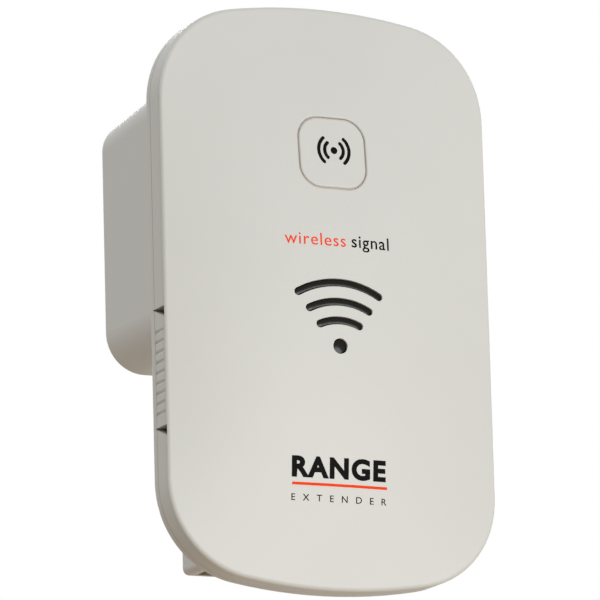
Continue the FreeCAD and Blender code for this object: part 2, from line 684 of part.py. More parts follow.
def jack_cutter():
    """Opening in the housing that the network socket passes through."""
    half = JACK_WIDTH / 2 + JACK_GAP
    return box(JACK_X - half, JACK_X + half, FLOOR_Y - 1, JACK_TOP_Y + JACK_GAP,
               HOUSING_BOTTOM_Z - 1, HOUSING_BOTTOM_Z + WALL + 1).cut(
        box(JACK_X - half, JACK_X + half, FLOOR_Y - 1, BACK_Y,
            HOUSING_BOTTOM_Z - 1, JACK_MOUTH_Z - JACK_GAP))


def make_jack():
    body = box(JACK_X - JACK_WIDTH / 2, JACK_X + JACK_WIDTH / 2, PCB_REAR_Y, JACK_TOP_Y,
               JACK_MOUTH_Z, JACK_MOUTH_Z + JACK_LENGTH)
    port_top = PORT_Y0 + PORT_HEIGHT
    port_end = JACK_MOUTH_Z + PORT_DEPTH
    body = body.cut(box(JACK_X - PORT_WIDTH / 2, JACK_X + PORT_WIDTH / 2, PORT_Y0, port_top,
                        JACK_MOUTH_Z - 1, port_end))
    latch = box(JACK_X - LATCH_WIDTH / 2, JACK_X + LATCH_WIDTH / 2, port_top - 1,
                port_top + LATCH_HEIGHT, JACK_MOUTH_Z - 1, port_end - 3)
    return body.cut(latch)


def make_jack_contacts():
    """Eight sprung wires that slope up from the port's floor to its end."""
    width, thick = CONTACT_WIRE
    start_z = JACK_MOUTH_Z + 3.0
    end_z = JACK_MOUTH_Z + PORT_DEPTH
    high_y = PORT_Y0 + CONTACT_RISE
    profile = ((PORT_Y0, start_z), (PORT_Y0, start_z + 4 * thick), (high_y, end_z),
               (high_y + thick, end_z), (PORT_Y0 + thick, start_z))
    wires = []
    for i in range(CONTACT_COUNT):
        x = JACK_X + (i - (CONTACT_COUNT - 1) / 2) * CONTACT_PITCH - width / 2
        points = [Vector(x, y, z) for y, z in profile]
        wires.append(Part.Face(Part.makePolygon(points + points[:1])).extrude(Vector(width, 0, 0)))
    return wires


def chip(cx, cz, width, height, thick):
    return box_at(cx, cz, width, height, PCB_REAR_Y, PCB_REAR_Y + thick)


def make_heatsink():
    size = HEATSINK_SIZE
    base_y = PCB_REAR_Y + SOC_T + PAD_T
    base_top = base_y + HEATSINK_BASE_T
    sink = box_at(SOC_X, SOC_Z, size, size, base_y, base_top)
    for i in range(HEATSINK_FINS):
        x = (SOC_X - size / 2 + HEATSINK_FIN_T / 2
             + i * (size - HEATSINK_FIN_T) / (HEATSINK_FINS - 1))
        sink = sink.fuse(box_at(x, SOC_Z, HEATSINK_FIN_T, size, base_top, HEATSINK_TOP_Y))
    return sink.removeSplitter()


def make_board_capacitors():
    middle = (CAPACITORS_IN_ROW - 1) / 2
    return [chip(SOC_X + (i - middle) * CAPACITOR_PITCH, SOC_Z + rise, *CAPACITOR_SIZE)
            for rise in CAPACITOR_ROWS for i in range(CAPACITORS_IN_ROW)]


def make_shield_can():
    cx, cz, width, height, thick = SHIELD_CAN
    hollow = box_at(cx, cz, width - 2 * SHIELD_SHEET, height - 2 * SHIELD_SHEET,
                    PCB_REAR_Y - 1, PCB_REAR_Y + thick - SHIELD_SHEET)
    return chip(*SHIELD_CAN).cut(hollow)


def make_antenna(side):
    """Stamped inverted-F antenna: a raised strip on two legs, near the board's top corner."""
    x0, x1 = 7.0, 19.5
    z0, z1 = PCB_TOP_Z - 4.6, PCB_TOP_Z - 0.6
    sheet = 0.3
    strip_y = PCB_FRONT_Y - 1.5
    strip = box(x0, x1, strip_y, strip_y + sheet, z0, z1)
    legs = [box(x, x + 1.0, strip_y, PCB_FRONT_Y, z0, z0 + sheet) for x in (x0, x0 + 3.5)]
    antenna = strip.fuse(legs).removeSplitter()
    if side < 0:
        antenna = antenna.mirror(Vector(0, 0, 0), Vector(1, 0, 0))
    return antenna


# ---- Power board --------------------------------------------------------------------------
def make_power_pcb():
    inner = BLOCK_WALL + POWER_PCB_GAP
    spread = -BLOCK_DRAFT * POWER_PCB_Y - inner
    wire = rounded_wire(BLOCK_WIDTH / 2 + spread, BLOCK_HEIGHT / 2 + spread,
                        -BLOCK_HEIGHT / 2 - spread, BLOCK_TOP_R - inner + 1,
                        BLOCK_BOTTOM_R - inner + 1, POWER_PCB_FRONT_Y)
    board = prism(wire, POWER_PCB_FRONT_Y, POWER_PCB_Y)
    for x, z in POWER_SCREWS:
        board = board.cut(rod_y(x, z, BOARD_SCREW_R + HOLE_GAP, POWER_PCB_FRONT_Y - 1,
                                POWER_PCB_Y + 1))
    for x, z in HEADER_PINS:
        board = board.cut(rod_y(x, z, 0.5, POWER_PCB_FRONT_Y - 1, POWER_PCB_Y + 1))
    return board


def make_insulation_sheet():
    inner = BLOCK_WALL + POWER_PCB_GAP + 1.5
    sheet = rounded_prism(0, 0, BLOCK_WIDTH - 2 * inner, BLOCK_HEIGHT - 2 * inner, 3.0,
                          SHEET_Y - SHEET_T, SHEET_Y)
    return sheet.cut(box_at(HEADER_X, HEADER_Z, 6.0, 3.5, SHEET_Y - 1, SHEET_Y + 1))


def make_header():
    """Two square pins that carry the low voltage from board to board, in a plastic base."""
    base = box_at(HEADER_X, HEADER_Z, 2 * HEADER_PITCH, 2.5, POWER_PCB_FRONT_Y - 2.5,
                  POWER_PCB_FRONT_Y)
    for x, z in HEADER_PINS:
        pin = box_at(x, z, 0.64, 0.64, PCB_FRONT_Y - 0.6, POWER_PCB_Y + 0.8)
        base = base.fuse(pin)
    return base.removeSplitter()


def on_power(cx, cz, width, height, tall):
    return box_at(cx, cz, width, height, POWER_PCB_Y, POWER_PCB_Y + tall)


def make_transformer():
    """Ferrite core around the middle of a wound bobbin."""
    cx, cz, width, height, tall = TRANSFORMER
    low, high = POWER_PCB_Y + TRANSFORMER_LIMB, POWER_PCB_Y + tall - TRANSFORMER_LIMB
    window = box_at(cx, cz, WINDING_WIDTH, height + 2, low, high)
    winding = box_at(cx, cz, WINDING_WIDTH, WINDING_LENGTH, low, high)
    return on_power(*TRANSFORMER).cut(window), winding


def electrolytic(cx, cz, radius, tall):
    can = rod_y(cx, cz, radius, POWER_PCB_Y, POWER_PCB_Y + tall)
    return can.makeFillet(0.5, edges_at_y(can, POWER_PCB_Y + tall))


def blade_contact(x):
    """A sprung U on the power board that grips the tail of a blade."""
    half = BLADE_T / 2
    base = box_at(x, 0, BLADE_T + 2 * CONTACT_T, 4.0, POWER_PCB_Y, POWER_PCB_Y + CONTACT_T)
    leaves = []
    for side in (-1, 1):
        x0 = min(x + side * half, x + side * (half + CONTACT_T))
        leaves.append(box(x0, x0 + CONTACT_T, POWER_PCB_Y, POWER_PCB_Y + 6.5, -2.0, 2.0))
    return base.fuse(leaves).removeSplitter()


def make_blade(x):
    """Flat pin with a holed round-cornered tip and a narrow tail inside."""
    inner_y = -BLOCK_WALL - CARRIER_T
    blade = box_at(x, 0, BLADE_T, BLADE_W, inner_y, BLADE_LENGTH)
    tip = [e for e in edges_at_y(blade, BLADE_LENGTH) if e.BoundBox.XLength > BLADE_T / 2]
    blade = blade.makeFillet(BLADE_TIP_R, tip)
    blade = blade.cut(rod_x(BLADE_HOLE_Y, 0, BLADE_HOLE_R, x - BLADE_T, x + BLADE_T))
    tail = box_at(x, 0, BLADE_T, TAIL_W, POWER_PCB_Y + CONTACT_T, inner_y)
    return blade.fuse(tail).removeSplitter()


def make_blade_carrier():
    carrier = rounded_prism(0, 0, CARRIER_WIDTH, CARRIER_HEIGHT, 1.5,
                            -BLOCK_WALL - CARRIER_T, -BLOCK_WALL)
    for x in (-BLADE_PITCH / 2, BLADE_PITCH / 2):
        carrier = carrier.cut(box_at(x, 0, BLADE_T, BLADE_W, -BLOCK_WALL - CARRIER_T - 1, 0))
    return carrier


def make_label():
    return rounded_prism(0, SLAB_CENTRE_Z - 18.9, 34.0, 10.5, 1.0, BACK_Y, BACK_Y + 0.12)


# ---- All the nodes -------------------------------------------------------------------------
def make_nodes():
    nodes = {}
    nodes["front_cover"] = make_front_cover()
    nodes["rear_cover"] = make_rear_cover()
    nodes["case_screws"] = [case_screw(x, z) for x, z in CASE_SCREWS]
    nodes["rating_label"] = make_label()
    nodes["wps_button"] = make_button()
    nodes["light_guide"] = make_light_guide()
    nodes["led_baffle"] = make_led_baffle()
    nodes["status_leds"] = make_status_leds()
    nodes["main_pcb"] = make_main_pcb()
    nodes["main_pcb_screws"] = [
        board_screw(x, z, PCB_REAR_Y, -1, PCB_T + board_screw_reach(x, z) - 0.3)
        for x, z in BOARD_SCREWS]
    nodes["wps_switch_body"], nodes["wps_switch_plunger"] = make_wps_switch()
    nodes["reset_switch_body"], nodes["reset_switch_plunger"] = make_reset_switch()
    nodes["network_socket"] = make_jack()
    nodes["network_socket_contacts"] = make_jack_contacts()
    nodes["network_transformer"] = chip(NETWORK_TRANSFORMER_X,
                                        HOUSING_BOTTOM_Z + NETWORK_TRANSFORMER_RISE,
                                        *NETWORK_TRANSFORMER_SIZE)
    nodes["processor_chip"] = chip(SOC_X, SOC_Z, SOC_SIZE, SOC_SIZE, SOC_T)
    nodes["thermal_pad"] = box_at(SOC_X, SOC_Z, SOC_SIZE, SOC_SIZE, PCB_REAR_Y + SOC_T,
                                  PCB_REAR_Y + SOC_T + PAD_T)
    nodes["heatsink"] = make_heatsink()
    nodes["memory_chip"] = chip(*MEMORY_CHIP)
    nodes["flash_chip"] = chip(*FLASH_CHIP)
    nodes["clock_crystal"] = chip(*CLOCK_CRYSTAL)
    nodes["voltage_regulator"] = chip(*VOLTAGE_REGULATOR)
    nodes["radio_shield_can"] = make_shield_can()
    nodes["board_capacitors"] = make_board_capacitors()
    nodes["antenna_left"] = make_antenna(-1)
    nodes["antenna_right"] = make_antenna(1)
    nodes["insulation_sheet"] = make_insulation_sheet()
    nodes["board_link_pins"] = make_header()
    nodes["power_pcb"] = make_power_pcb()
    nodes["power_pcb_screws"] = [
        board_screw(x, z, POWER_PCB_FRONT_Y, 1, POWER_PCB_T + 5.0) for x, z in POWER_SCREWS]
    nodes["transformer_core"], nodes["transformer_winding"] = make_transformer()
    nodes["input_capacitors"] = [electrolytic(*place, ELECTROLYTIC_R, INPUT_CAPACITOR_TALL)
                                 for place in INPUT_CAPACITORS]
    nodes["output_capacitors"] = [electrolytic(*place, ELECTROLYTIC_R, OUTPUT_CAPACITOR_TALL)
                                  for place in OUTPUT_CAPACITORS]
    nodes["bridge_rectifier"] = on_power(*BRIDGE_RECTIFIER)
    nodes["fuse"] = rod_x(POWER_PCB_Y + FUSE_R, FUSE_Z, FUSE_R, *FUSE_ENDS)
    nodes["filter_inductor"] = electrolytic(*INDUCTOR_PLACE, INDUCTOR_R, INDUCTOR_TALL)
    nodes["noise_capacitor"] = on_power(*NOISE_CAPACITOR)
    nodes["optocoupler"] = on_power(*OPTOCOUPLER)
    nodes["power_controller"] = on_power(*POWER_CONTROLLER)
    nodes["output_diode"] = on_power(*OUTPUT_DIODE)
    nodes["blade_contacts"] = [blade_contact(side * BLADE_PITCH / 2) for side in (-1, 1)]
    nodes["blade_left"] = make_blade(-BLADE_PITCH / 2)
    nodes["blade_right"] = make_blade(BLADE_PITCH / 2)
    nodes["blade_carrier"] = make_blade_carrier()
    return nodes


os.makedirs("parts", exist_ok=True)
for name, shape in make_nodes().items():
    if isinstance(shape, list):
        shape = Part.makeCompound(shape)
    shape.exportStep("parts/" + name + ".step")
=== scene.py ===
import bmesh
import bpy
import math
from mathutils import Matrix, Vector


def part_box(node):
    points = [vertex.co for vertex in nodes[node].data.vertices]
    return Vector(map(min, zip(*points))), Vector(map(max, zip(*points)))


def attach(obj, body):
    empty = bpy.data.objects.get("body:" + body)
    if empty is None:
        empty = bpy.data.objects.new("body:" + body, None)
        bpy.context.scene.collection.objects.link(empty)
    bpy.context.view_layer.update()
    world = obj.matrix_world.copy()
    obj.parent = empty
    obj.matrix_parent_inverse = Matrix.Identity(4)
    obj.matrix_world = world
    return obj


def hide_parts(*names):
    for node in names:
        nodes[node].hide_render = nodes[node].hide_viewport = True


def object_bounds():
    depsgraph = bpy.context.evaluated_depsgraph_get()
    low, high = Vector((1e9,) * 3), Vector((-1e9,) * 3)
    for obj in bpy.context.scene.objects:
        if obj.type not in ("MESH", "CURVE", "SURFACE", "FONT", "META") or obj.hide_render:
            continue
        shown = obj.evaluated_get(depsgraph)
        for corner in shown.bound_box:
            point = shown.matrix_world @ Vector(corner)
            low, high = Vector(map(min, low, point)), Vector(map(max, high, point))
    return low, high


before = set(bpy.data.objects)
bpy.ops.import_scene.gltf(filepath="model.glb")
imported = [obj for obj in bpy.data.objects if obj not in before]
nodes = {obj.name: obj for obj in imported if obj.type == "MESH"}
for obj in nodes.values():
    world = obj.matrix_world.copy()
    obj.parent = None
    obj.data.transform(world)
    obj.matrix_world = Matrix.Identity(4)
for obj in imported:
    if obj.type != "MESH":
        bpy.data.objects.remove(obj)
cad_low, cad_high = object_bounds()


# ---- Camera --------------------------------------------------------------------------------
# A long lens about a metre away, to the left of the object and a little below it, so that
# the face, the left side and the underside of the power block show.
face_low, face_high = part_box("front_cover")
CROWN = 0.0046                 # how far the face bulges past its rim
rim_centre = Vector((0, face_low.y + CROWN, (face_low.z + face_high.z) / 2))
cam_azimuth = math.radians(25.74)
cam_elevation = math.radians(-12.71)
cam_roll = math.radians(1.66)
cam_distance = 1.0812
towards_camera = Vector((-math.sin(cam_azimuth) * math.cos(cam_elevation),
                         -math.cos(cam_azimuth) * math.cos(cam_elevation),
                         math.sin(cam_elevation)))
level_right = Vector((math.cos(cam_azimuth), -math.sin(cam_azimuth), 0))
level_up = level_right.cross(-towards_camera)
cam_right = level_right * math.cos(cam_roll) - level_up * math.sin(cam_roll)
cam_up = level_right * math.sin(cam_roll) + level_up * math.cos(cam_roll)
aim_left, aim_down = 0.00526, 0.00058
cam_place = rim_centre + towards_camera * cam_distance
aim = rim_centre - cam_right * aim_left - cam_up * aim_down
forward = (aim - cam_place).normalized()
right = forward.cross(cam_up).normalized()
camera = bpy.data.objects.new("camera", bpy.data.cameras.new("camera"))
camera.data.lens = 352
camera.data.sensor_width = 36
camera.data.clip_start = 0.1
camera.data.clip_end = 20
camera.matrix_world = Matrix.Translation(cam_place) @ Matrix(
    (right, right.cross(forward), -forward)).transposed().to_4x4()
bpy.context.scene.collection.objects.link(camera)
bpy.context.scene.camera = camera


# ---- Studio --------------------------------------------------------------------------------
# Pale surroundings and three broad soft lamps: before the face on the right, above and behind on
# the left, where a white backdrop would be, and behind on the right.  The floor is pale sand and
# far below, as the object hangs on a wall outlet, and gives the underside a dim warm light.
def linear(code):
    """An sRGB hex colour as linear RGBA."""
    parts = [int(code[i:i + 2], 16) / 255 for i in (1, 3, 5)]
    return (*(c / 12.92 if c <= 0.04045 else ((c + 0.055) / 1.055) ** 2.4 for c in parts), 1)


def node(tree, kind, settings=None, into=None, **more):
    """Add a shader node.  A setting names a property or a socket, or numbers a socket, and its
    value may be another node's output, which is then linked.  The result goes into a socket."""
    made = tree.nodes.new("ShaderNode" + kind)
    for key, value in {**(settings or {}), **more}.items():
        if isinstance(value, bpy.types.NodeSocket):
            tree.links.new(value, made.inputs[key])
        elif isinstance(key, str) and hasattr(made, key):
            setattr(made, key, value)
        else:
            made.inputs[key].default_value = value
    if into:
        tree.links.new(made.outputs[0], into)
    return made


def seen_directly(tree):
    """1 on camera, glossy and transmission rays, and 0 on those that carry light."""
    path = node(tree, "LightPath")
    level = path.outputs["Is Camera Ray"]
    for ray in ("Is Glossy Ray", "Is Transmission Ray"):
        either = node(tree, "Math", {"operation": "MAXIMUM", 0: level, 1: path.outputs[ray]})
        level = either.outputs[0]
    return level


def area_lamp(name, place, target, size, power):
    """Add a round lamp that faces the target."""
    lamp = bpy.data.objects.new(name, bpy.data.lights.new(name, "AREA"))
    lamp.data.shape = "DISK"
    lamp.data.size = size
    lamp.data.energy = power
    turn = (Vector(place) - Vector(target)).to_track_quat("Z", "Y")
    lamp.matrix_world = Matrix.Translation(place) @ turn.to_matrix().to_4x4()
    bpy.context.scene.collection.objects.link(lamp)


FLOOR_DROP = 0.9
FLOOR_SIZE = 8
AMBIENT = 0.42
world = bpy.data.worlds.new("studio")
bpy.context.scene.world = world
world.use_nodes = True
sky = world.node_tree
sky.nodes.clear()
strength = node(sky, "MapRange", {"To Min": AMBIENT, "To Max": 1.0}, Value=seen_directly(sky))
light = node(sky, "Background", {"Color": (1, 1, 1, 1)}, Strength=strength.outputs["Result"])
node(sky, "OutputWorld", Surface=light.outputs[0])

middle = (cad_low + cad_high) / 2
area_lamp("front_lamp", middle + Vector((0.46, -1.50, -0.18)), middle, 0.7, 15.2)
area_lamp("backdrop_lamp", middle + Vector((-0.90, 0.60, 1.25)), middle, 0.9, 6.2)
area_lamp("rear_lamp", middle + Vector((0.7, 1.4, 0.5)), middle, 0.9, 11)

bpy.ops.mesh.primitive_plane_add(size=FLOOR_SIZE, location=(0, 0, cad_low.z - FLOOR_DROP))
floor = bpy.context.object
floor.name = "floor"
floor_paint = bpy.data.materials.new("floor_paint")
floor_paint.use_nodes = True
tree = floor_paint.node_tree
tree.nodes.clear()
matt = node(tree, "BsdfDiffuse", {"Color": linear("#B8A082")})
glow = node(tree, "Emission", {"Color": (1, 1, 1, 1), "Strength": 1.0})
mix = node(tree, "MixShader", {"Fac": seen_directly(tree), 1: matt.outputs[0],
                               2: glow.outputs[0]})
node(tree, "OutputMaterial", Surface=mix.outputs[0])
floor.data.materials.append(floor_paint)
bpy.context.scene.view_settings.view_transform = "Standard"


# ---- Case mouldings ------------------------------------------------------------------------
# Front cover, rear cover and button: warm white ABS, injection moulded in a tool with a fine
# spark-eroded grain.  That gives the eye an even satin face with no mirror reflections and a
# faint cloudiness where the melt cooled.
def surface(name, patch, colours, gloss, metallic=0.0, detail=3.0, **more):
    """A Principled material that passes between two colours and two roughnesses in patches of a
    size in metres, with its tree, shader, Object coordinates and patches to draw on."""
    made = bpy.data.materials.new(name)
    made.use_nodes = True
    tree = made.node_tree
    tree.nodes.clear()
    shader = node(tree, "BsdfPrincipled", {"Metallic": metallic, **more})
    node(tree, "OutputMaterial", Surface=shader.outputs[0])
    place = node(tree, "TexCoord").outputs["Object"]
    patches = node(tree, "TexNoise", {"Scale": 1 / patch, "Detail": detail, "Vector": place})
    amount = patches.outputs["Fac"]
    node(tree, "MixRGB", {"Fac": amount, "Color1": linear(colours[0]),
                          "Color2": linear(colours[1])}, into=shader.inputs["Base Color"])
    node(tree, "MapRange", {"Value": amount, "To Min": gloss[0], "To Max": gloss[1]},
         into=shader.inputs["Roughness"])
    return made, tree, shader, place, amount


def wear(material, *names):
    """Give CAD nodes their finish."""
    for name in names:
        nodes[name].data.materials.clear()
        nodes[name].data.materials.append(material)


ABS_GRAIN = 0.00035            # about 0.1 mm on the real tool, drawn coarser so that it shows
ABS_CLOUD = 0.018
white_abs, tree, shader, place, patches = surface(
    "white_abs", ABS_CLOUD, ("#D6D7D3", "#D2D3CF"), (0.44, 0.54), detail=2.0)
texture = node(tree, "TexNoise", {"Scale": 1 / ABS_GRAIN, "Detail": 3.0}, Vector=place)
gloss = shader.inputs["Roughness"].links[0].from_node      # set by the grain, not the clouds
tree.links.new(texture.outputs["Fac"], gloss.inputs["Value"])
node(tree, "Bump", {"Height": texture.outputs["Fac"], "Distance": 0.000008},
     into=shader.inputs["Normal"])
wear(white_abs, "front_cover", "rear_cover", "wps_button")


# ---- Light guide ---------------------------------------------------------------------------
# One smoked acrylic moulding: a plate behind the cover, with three bars and a dot that stand
# up into the cover's windows.  Their front edges are rounded and polished, so they catch a
# thin brown light along the lower side.
def bmesh_of(name):
    """The CAD node's shape with its triangles joined, and flat areas made single faces."""
    shape = bmesh.new()
    shape.from_mesh(nodes[name].data)
    bmesh.ops.remove_doubles(shape, verts=shape.verts, dist=0.000001)
    bmesh.ops.dissolve_limit(shape, angle_limit=math.radians(1), verts=shape.verts,
                             edges=shape.edges)
    return shape


def soften(shape, width, segments=2, sharp=30, where=None):
    """Round the outer edges that turn by more than sharp degrees."""
    edges = [e for e in shape.edges if e.is_manifold and e.is_convex
             and e.calc_face_angle() > math.radians(sharp)
             and (where is None or all(where(v.co) for v in e.verts))]
    bmesh.ops.bevel(shape, geom=edges, offset=width, offset_type="OFFSET", affect="EDGES",
                    segments=segments, profile=0.5, material=-1, clamp_overlap=False)


def add_piece(name, shape, material, body, slot, *replaced, smooth=35):
    """Make a bmesh an object that rides on a body and stands for the CAD nodes named last."""
    data = bpy.data.meshes.new(name)
    shape.to_mesh(data)
    shape.free()
    data.materials.append(material)
    data.shade_smooth()
    data.set_sharp_from_angle(angle=math.radians(smooth))
    piece = bpy.data.objects.new(name, data)
    bpy.context.scene.collection.objects.link(piece)
    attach(piece, body)
    if replaced:
        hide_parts(*replaced)


GUIDE_EDGE = 0.00022
GUIDE_FRONT = 0.0009           # the rounded edges lie within this of the foremost point
smoked, tree, shader, place, patches = surface(
    "smoked_acrylic", 0.004, ("#12100B", "#191611"), (0.12, 0.22), detail=2.0,
    **{"Specular IOR Level": 0.14})
guide_low, guide_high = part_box("light_guide")
guide = bmesh_of("light_guide")
soften(guide, GUIDE_EDGE, segments=3, where=lambda co: co.y < guide_low.y + GUIDE_FRONT)
add_piece("light_guide_lens", guide, smoked, "case", "smoked_acrylic", "light_guide")


# ---- Printing on the face ------------------------------------------------------------------
# Pad-printed ink, a film on the grained ABS: plain general words and a line, in black and
# orange.  It follows the crown of the face.
INK_FILM = 0.00002
INK_CUT = 0.0015               # how finely a print is cut up to follow the crown
INK_PATCH = 0.0006
half_width = face_high.x
half_height = (face_high.z - face_low.z) / 2


def face_y(x, z):
    """Y of the crowned front face."""
    across = 1 - (x / half_width) ** 2
    along = 1 - ((z - rim_centre.z) / half_height) ** 2
    return rim_centre.y - CROWN * across * along


def lettering(words, centre, width, height, weight=0.0, spacing=1.0):
    """Flat words in the XZ plane, facing -Y, stretched to a width and height."""
    curve = bpy.data.curves.new(words, "FONT")
    curve.body = words
    curve.offset = weight
    curve.space_character = spacing
    curve.resolution_u = 5
    holder = bpy.data.objects.new(words, curve)
    bpy.context.scene.collection.objects.link(holder)
    outline = holder.evaluated_get(bpy.context.evaluated_depsgraph_get())
    shape = bmesh.new()
    shape.from_mesh(bpy.data.meshes.new_from_object(outline))
    bpy.data.objects.remove(holder)
    xs = [v.co.x for v in shape.verts]
    ys = [v.co.y for v in shape.verts]
    scale = Matrix.Diagonal((width / (max(xs) - min(xs)), height / (max(ys) - min(ys)), 1, 1))
    shape.transform(Matrix.Translation((centre[0], 0, centre[1]))
                    @ Matrix.Rotation(math.pi / 2, 4, "X") @ scale
                    @ Matrix.Translation((-(max(xs) + min(xs)) / 2, -(max(ys) + min(ys)) / 2, 0)))
    return shape


def lay_on_face(shape):
    """Cut a flat shape finely, give it the thickness of ink and wrap it on the face."""
    for axis in (Vector((1, 0, 0)), Vector((0, 0, 1))):
        reach = [v.co.dot(axis) for v in shape.verts]
        for i in range(int((max(reach) - min(reach)) / INK_CUT)):
            bmesh.ops.bisect_plane(shape, geom=shape.verts[:] + shape.edges[:] + shape.faces[:],
                                   plane_co=axis * (min(reach) + (i + 1) * INK_CUT),
                                   plane_no=axis)
    bmesh.ops.remove_doubles(shape, verts=shape.verts, dist=0.000001)
    bmesh.ops.solidify(shape, geom=shape.faces[:], thickness=INK_FILM)
    front = min(v.co.y for v in shape.verts)
    for v in shape.verts:
        proud = INK_FILM if v.co.y < front + INK_FILM / 2 else 0
        v.co.y = face_y(v.co.x, v.co.z) - proud
    return shape


def ink(name, colour, lighter):
    """A matt ink that lies a little unevenly."""
    made, tree, shader, place, patches = surface(
        name, INK_PATCH, (colour, lighter), (0.6, 0.6), detail=2.0,
        **{"Specular IOR Level": 0.06})
    node(tree, "Bump", {"Height": patches, "Distance": 0.000004}, into=shader.inputs["Normal"])
    return made


black_ink = ink("black_pad_ink", "#070606", "#0D0B0A")
orange_ink = ink("orange_pad_ink", "#F93F0C", "#FF4E18")
UPPER_LINE_Z = -0.0046
MARK_Z = -0.0470
RULE_Z = -0.0501
SMALL_LINE_Z = -0.0526
FOOT_WIDTH = 0.0192
UNDERLINE_HEIGHT = 0.0005
prints = (("print_kind", "wireless", (-0.0044, UPPER_LINE_Z + 0.0001), (0.0122, 0.0023), 0.0, 1.1,
           orange_ink, "label_film"),
          ("print_use", "signal", (0.0068, UPPER_LINE_Z - 0.0002), (0.0078, 0.0031), 0.008, 1.1,
           black_ink, "black_plastic"),
          ("print_main", "RANGE", (-0.0002, MARK_Z), (0.0190, 0.0040), 0.045, 1.14,
           black_ink, "black_plastic"),
          ("print_small", "EXTENDER", (-0.0001, SMALL_LINE_Z), (FOOT_WIDTH, 0.0012), 0.004, 2.6,
           black_ink, "black_plastic"))
for name, words, centre, (width, height), weight, spacing, colour, finish in prints:
    shape = lettering(words, centre, width, height, weight, spacing)
    add_piece(name, lay_on_face(shape), colour, "case", finish)
rule = bmesh.new()
bmesh.ops.create_grid(rule, x_segments=1, y_segments=1, size=0.5)
rule.transform(Matrix.Translation((0, 0, RULE_Z)) @ Matrix.Rotation(math.pi / 2, 4, "X")
               @ Matrix.Diagonal((FOOT_WIDTH, UNDERLINE_HEIGHT, 1, 1)))
add_piece("print_rule", lay_on_face(rule), orange_ink, "case", "label_film")


# ---- Symbol on the button ------------------------------------------------------------------
# The same black ink, printed on the button's cap: a plain dot with two waves on each side.
# It follows the crown of the cap and moves with the button.
SYMBOL_STROKE = 0.00066
SYMBOL_DOT = 0.00068
SYMBOL_WAVES = (0.0019, 0.0031)
SYMBOL_SPREAD = math.radians(48)


def add_wave(shape, centre, radius, facing, half_angle, stroke):
    """Add a stroke with round ends, bent to an arc about centre; facing is where it bulges."""
    start = Matrix.Rotation(facing - half_angle, 3, "Y") @ Vector((0, 0, 1))
    rail = [shape.verts.new(centre + start * (radius + side * stroke / 2)) for side in (-1, 0, 1)]
    edges = [shape.edges.new(pair) for pair in zip(rail, rail[1:])]
    bmesh.ops.spin(shape, geom=rail + edges, cent=centre, axis=(0, 1, 0),
                   angle=2 * half_angle, steps=20, use_merge=False)
    for turn, way in ((facing - half_angle, -1), (facing + half_angle, 1)):
        across = Matrix.Rotation(turn, 3, "Y") @ Vector((0, 0, 1))
        tip = centre + across * radius
        half = [shape.verts.new(tip), shape.verts.new(tip + across * stroke / 2)]
        edge = shape.edges.new(half)
        bmesh.ops.spin(shape, geom=half + [edge], cent=tip, axis=(0, 1, 0),
                       angle=way * math.pi, steps=8, use_merge=False)
    bmesh.ops.remove_doubles(shape, verts=shape.verts, dist=0.000002)


button_low, button_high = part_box("wps_button")
button_centre = Vector((0, 0, (button_low.z + button_high.z) / 2))
symbol_centre = button_centre + Vector((0.0003, 0, 0.0005))
symbol = bmesh.new()
bmesh.ops.create_circle(symbol, cap_ends=True, segments=32, radius=SYMBOL_DOT,
                        matrix=Matrix.Translation(symbol_centre)
                        @ Matrix.Rotation(math.pi / 2, 4, "X"))
for wave in SYMBOL_WAVES:
    for facing in (-math.pi / 2, math.pi / 2):
        add_wave(symbol, symbol_centre, wave, facing, SYMBOL_SPREAD, SYMBOL_STROKE)
for patch in symbol.faces:
    patch.normal_update()
    if patch.normal.y > 0:
        patch.normal_flip()
add_piece("button_symbol", lay_on_face(symbol), black_ink, "button", "black_plastic")


# ---- Button --------------------------------------------------------------------------------
# The cap is the CAD moulding with a step round it: a skirt that fills the gap a little below
# the face, so that no light and no dust get through.  The skirt is painted a tan that stands for
# the warm shade in the gap, and it shows as a fine warm line round the cap.
# Tan painted shade: the warm shade and bounced light that fall in the gap round the cap.
gap_shade_tan, tree, shader, place, patches = surface(
    "gap_shade_tan", 0.003, ("#C8BAAC", "#BDAE9F"), (0.46, 0.56), detail=2.0)
SKIRT_DEPTH = 0.0004           # below the face
SKIRT_SIZE = 0.0137
SKIRT_CORNER = 0.0043
SKIRT_WIDTH = 0.0012
SKIRT_T = 0.001
SKIRT_END = button_high.y - 0.0005
skirt = bmesh.new()
bmesh.ops.create_grid(skirt, x_segments=1, y_segments=1, size=SKIRT_SIZE / 2,
                      matrix=Matrix.Translation(button_centre)
                      @ Matrix.Rotation(math.pi / 2, 4, "X"))
bmesh.ops.bevel(skirt, geom=skirt.verts[:], offset=SKIRT_CORNER, offset_type="OFFSET",
                affect="VERTICES", segments=10, profile=0.5, material=-1)
ring = bmesh.ops.inset_region(skirt, faces=skirt.faces[:], thickness=SKIRT_WIDTH,
                              use_boundary=True, use_even_offset=True)["faces"]
bmesh.ops.delete(skirt, geom=[f for f in skirt.faces if f not in ring], context="FACES")
bmesh.ops.solidify(skirt, geom=skirt.faces[:], thickness=SKIRT_T)
front = min(v.co.y for v in skirt.verts)
for v in skirt.verts:
    is_front = v.co.y < front + SKIRT_T / 2
    v.co.y = face_y(v.co.x, v.co.z) + SKIRT_DEPTH if is_front else SKIRT_END
add_piece("button_skirt", skirt, gap_shade_tan, "button", "white_abs")


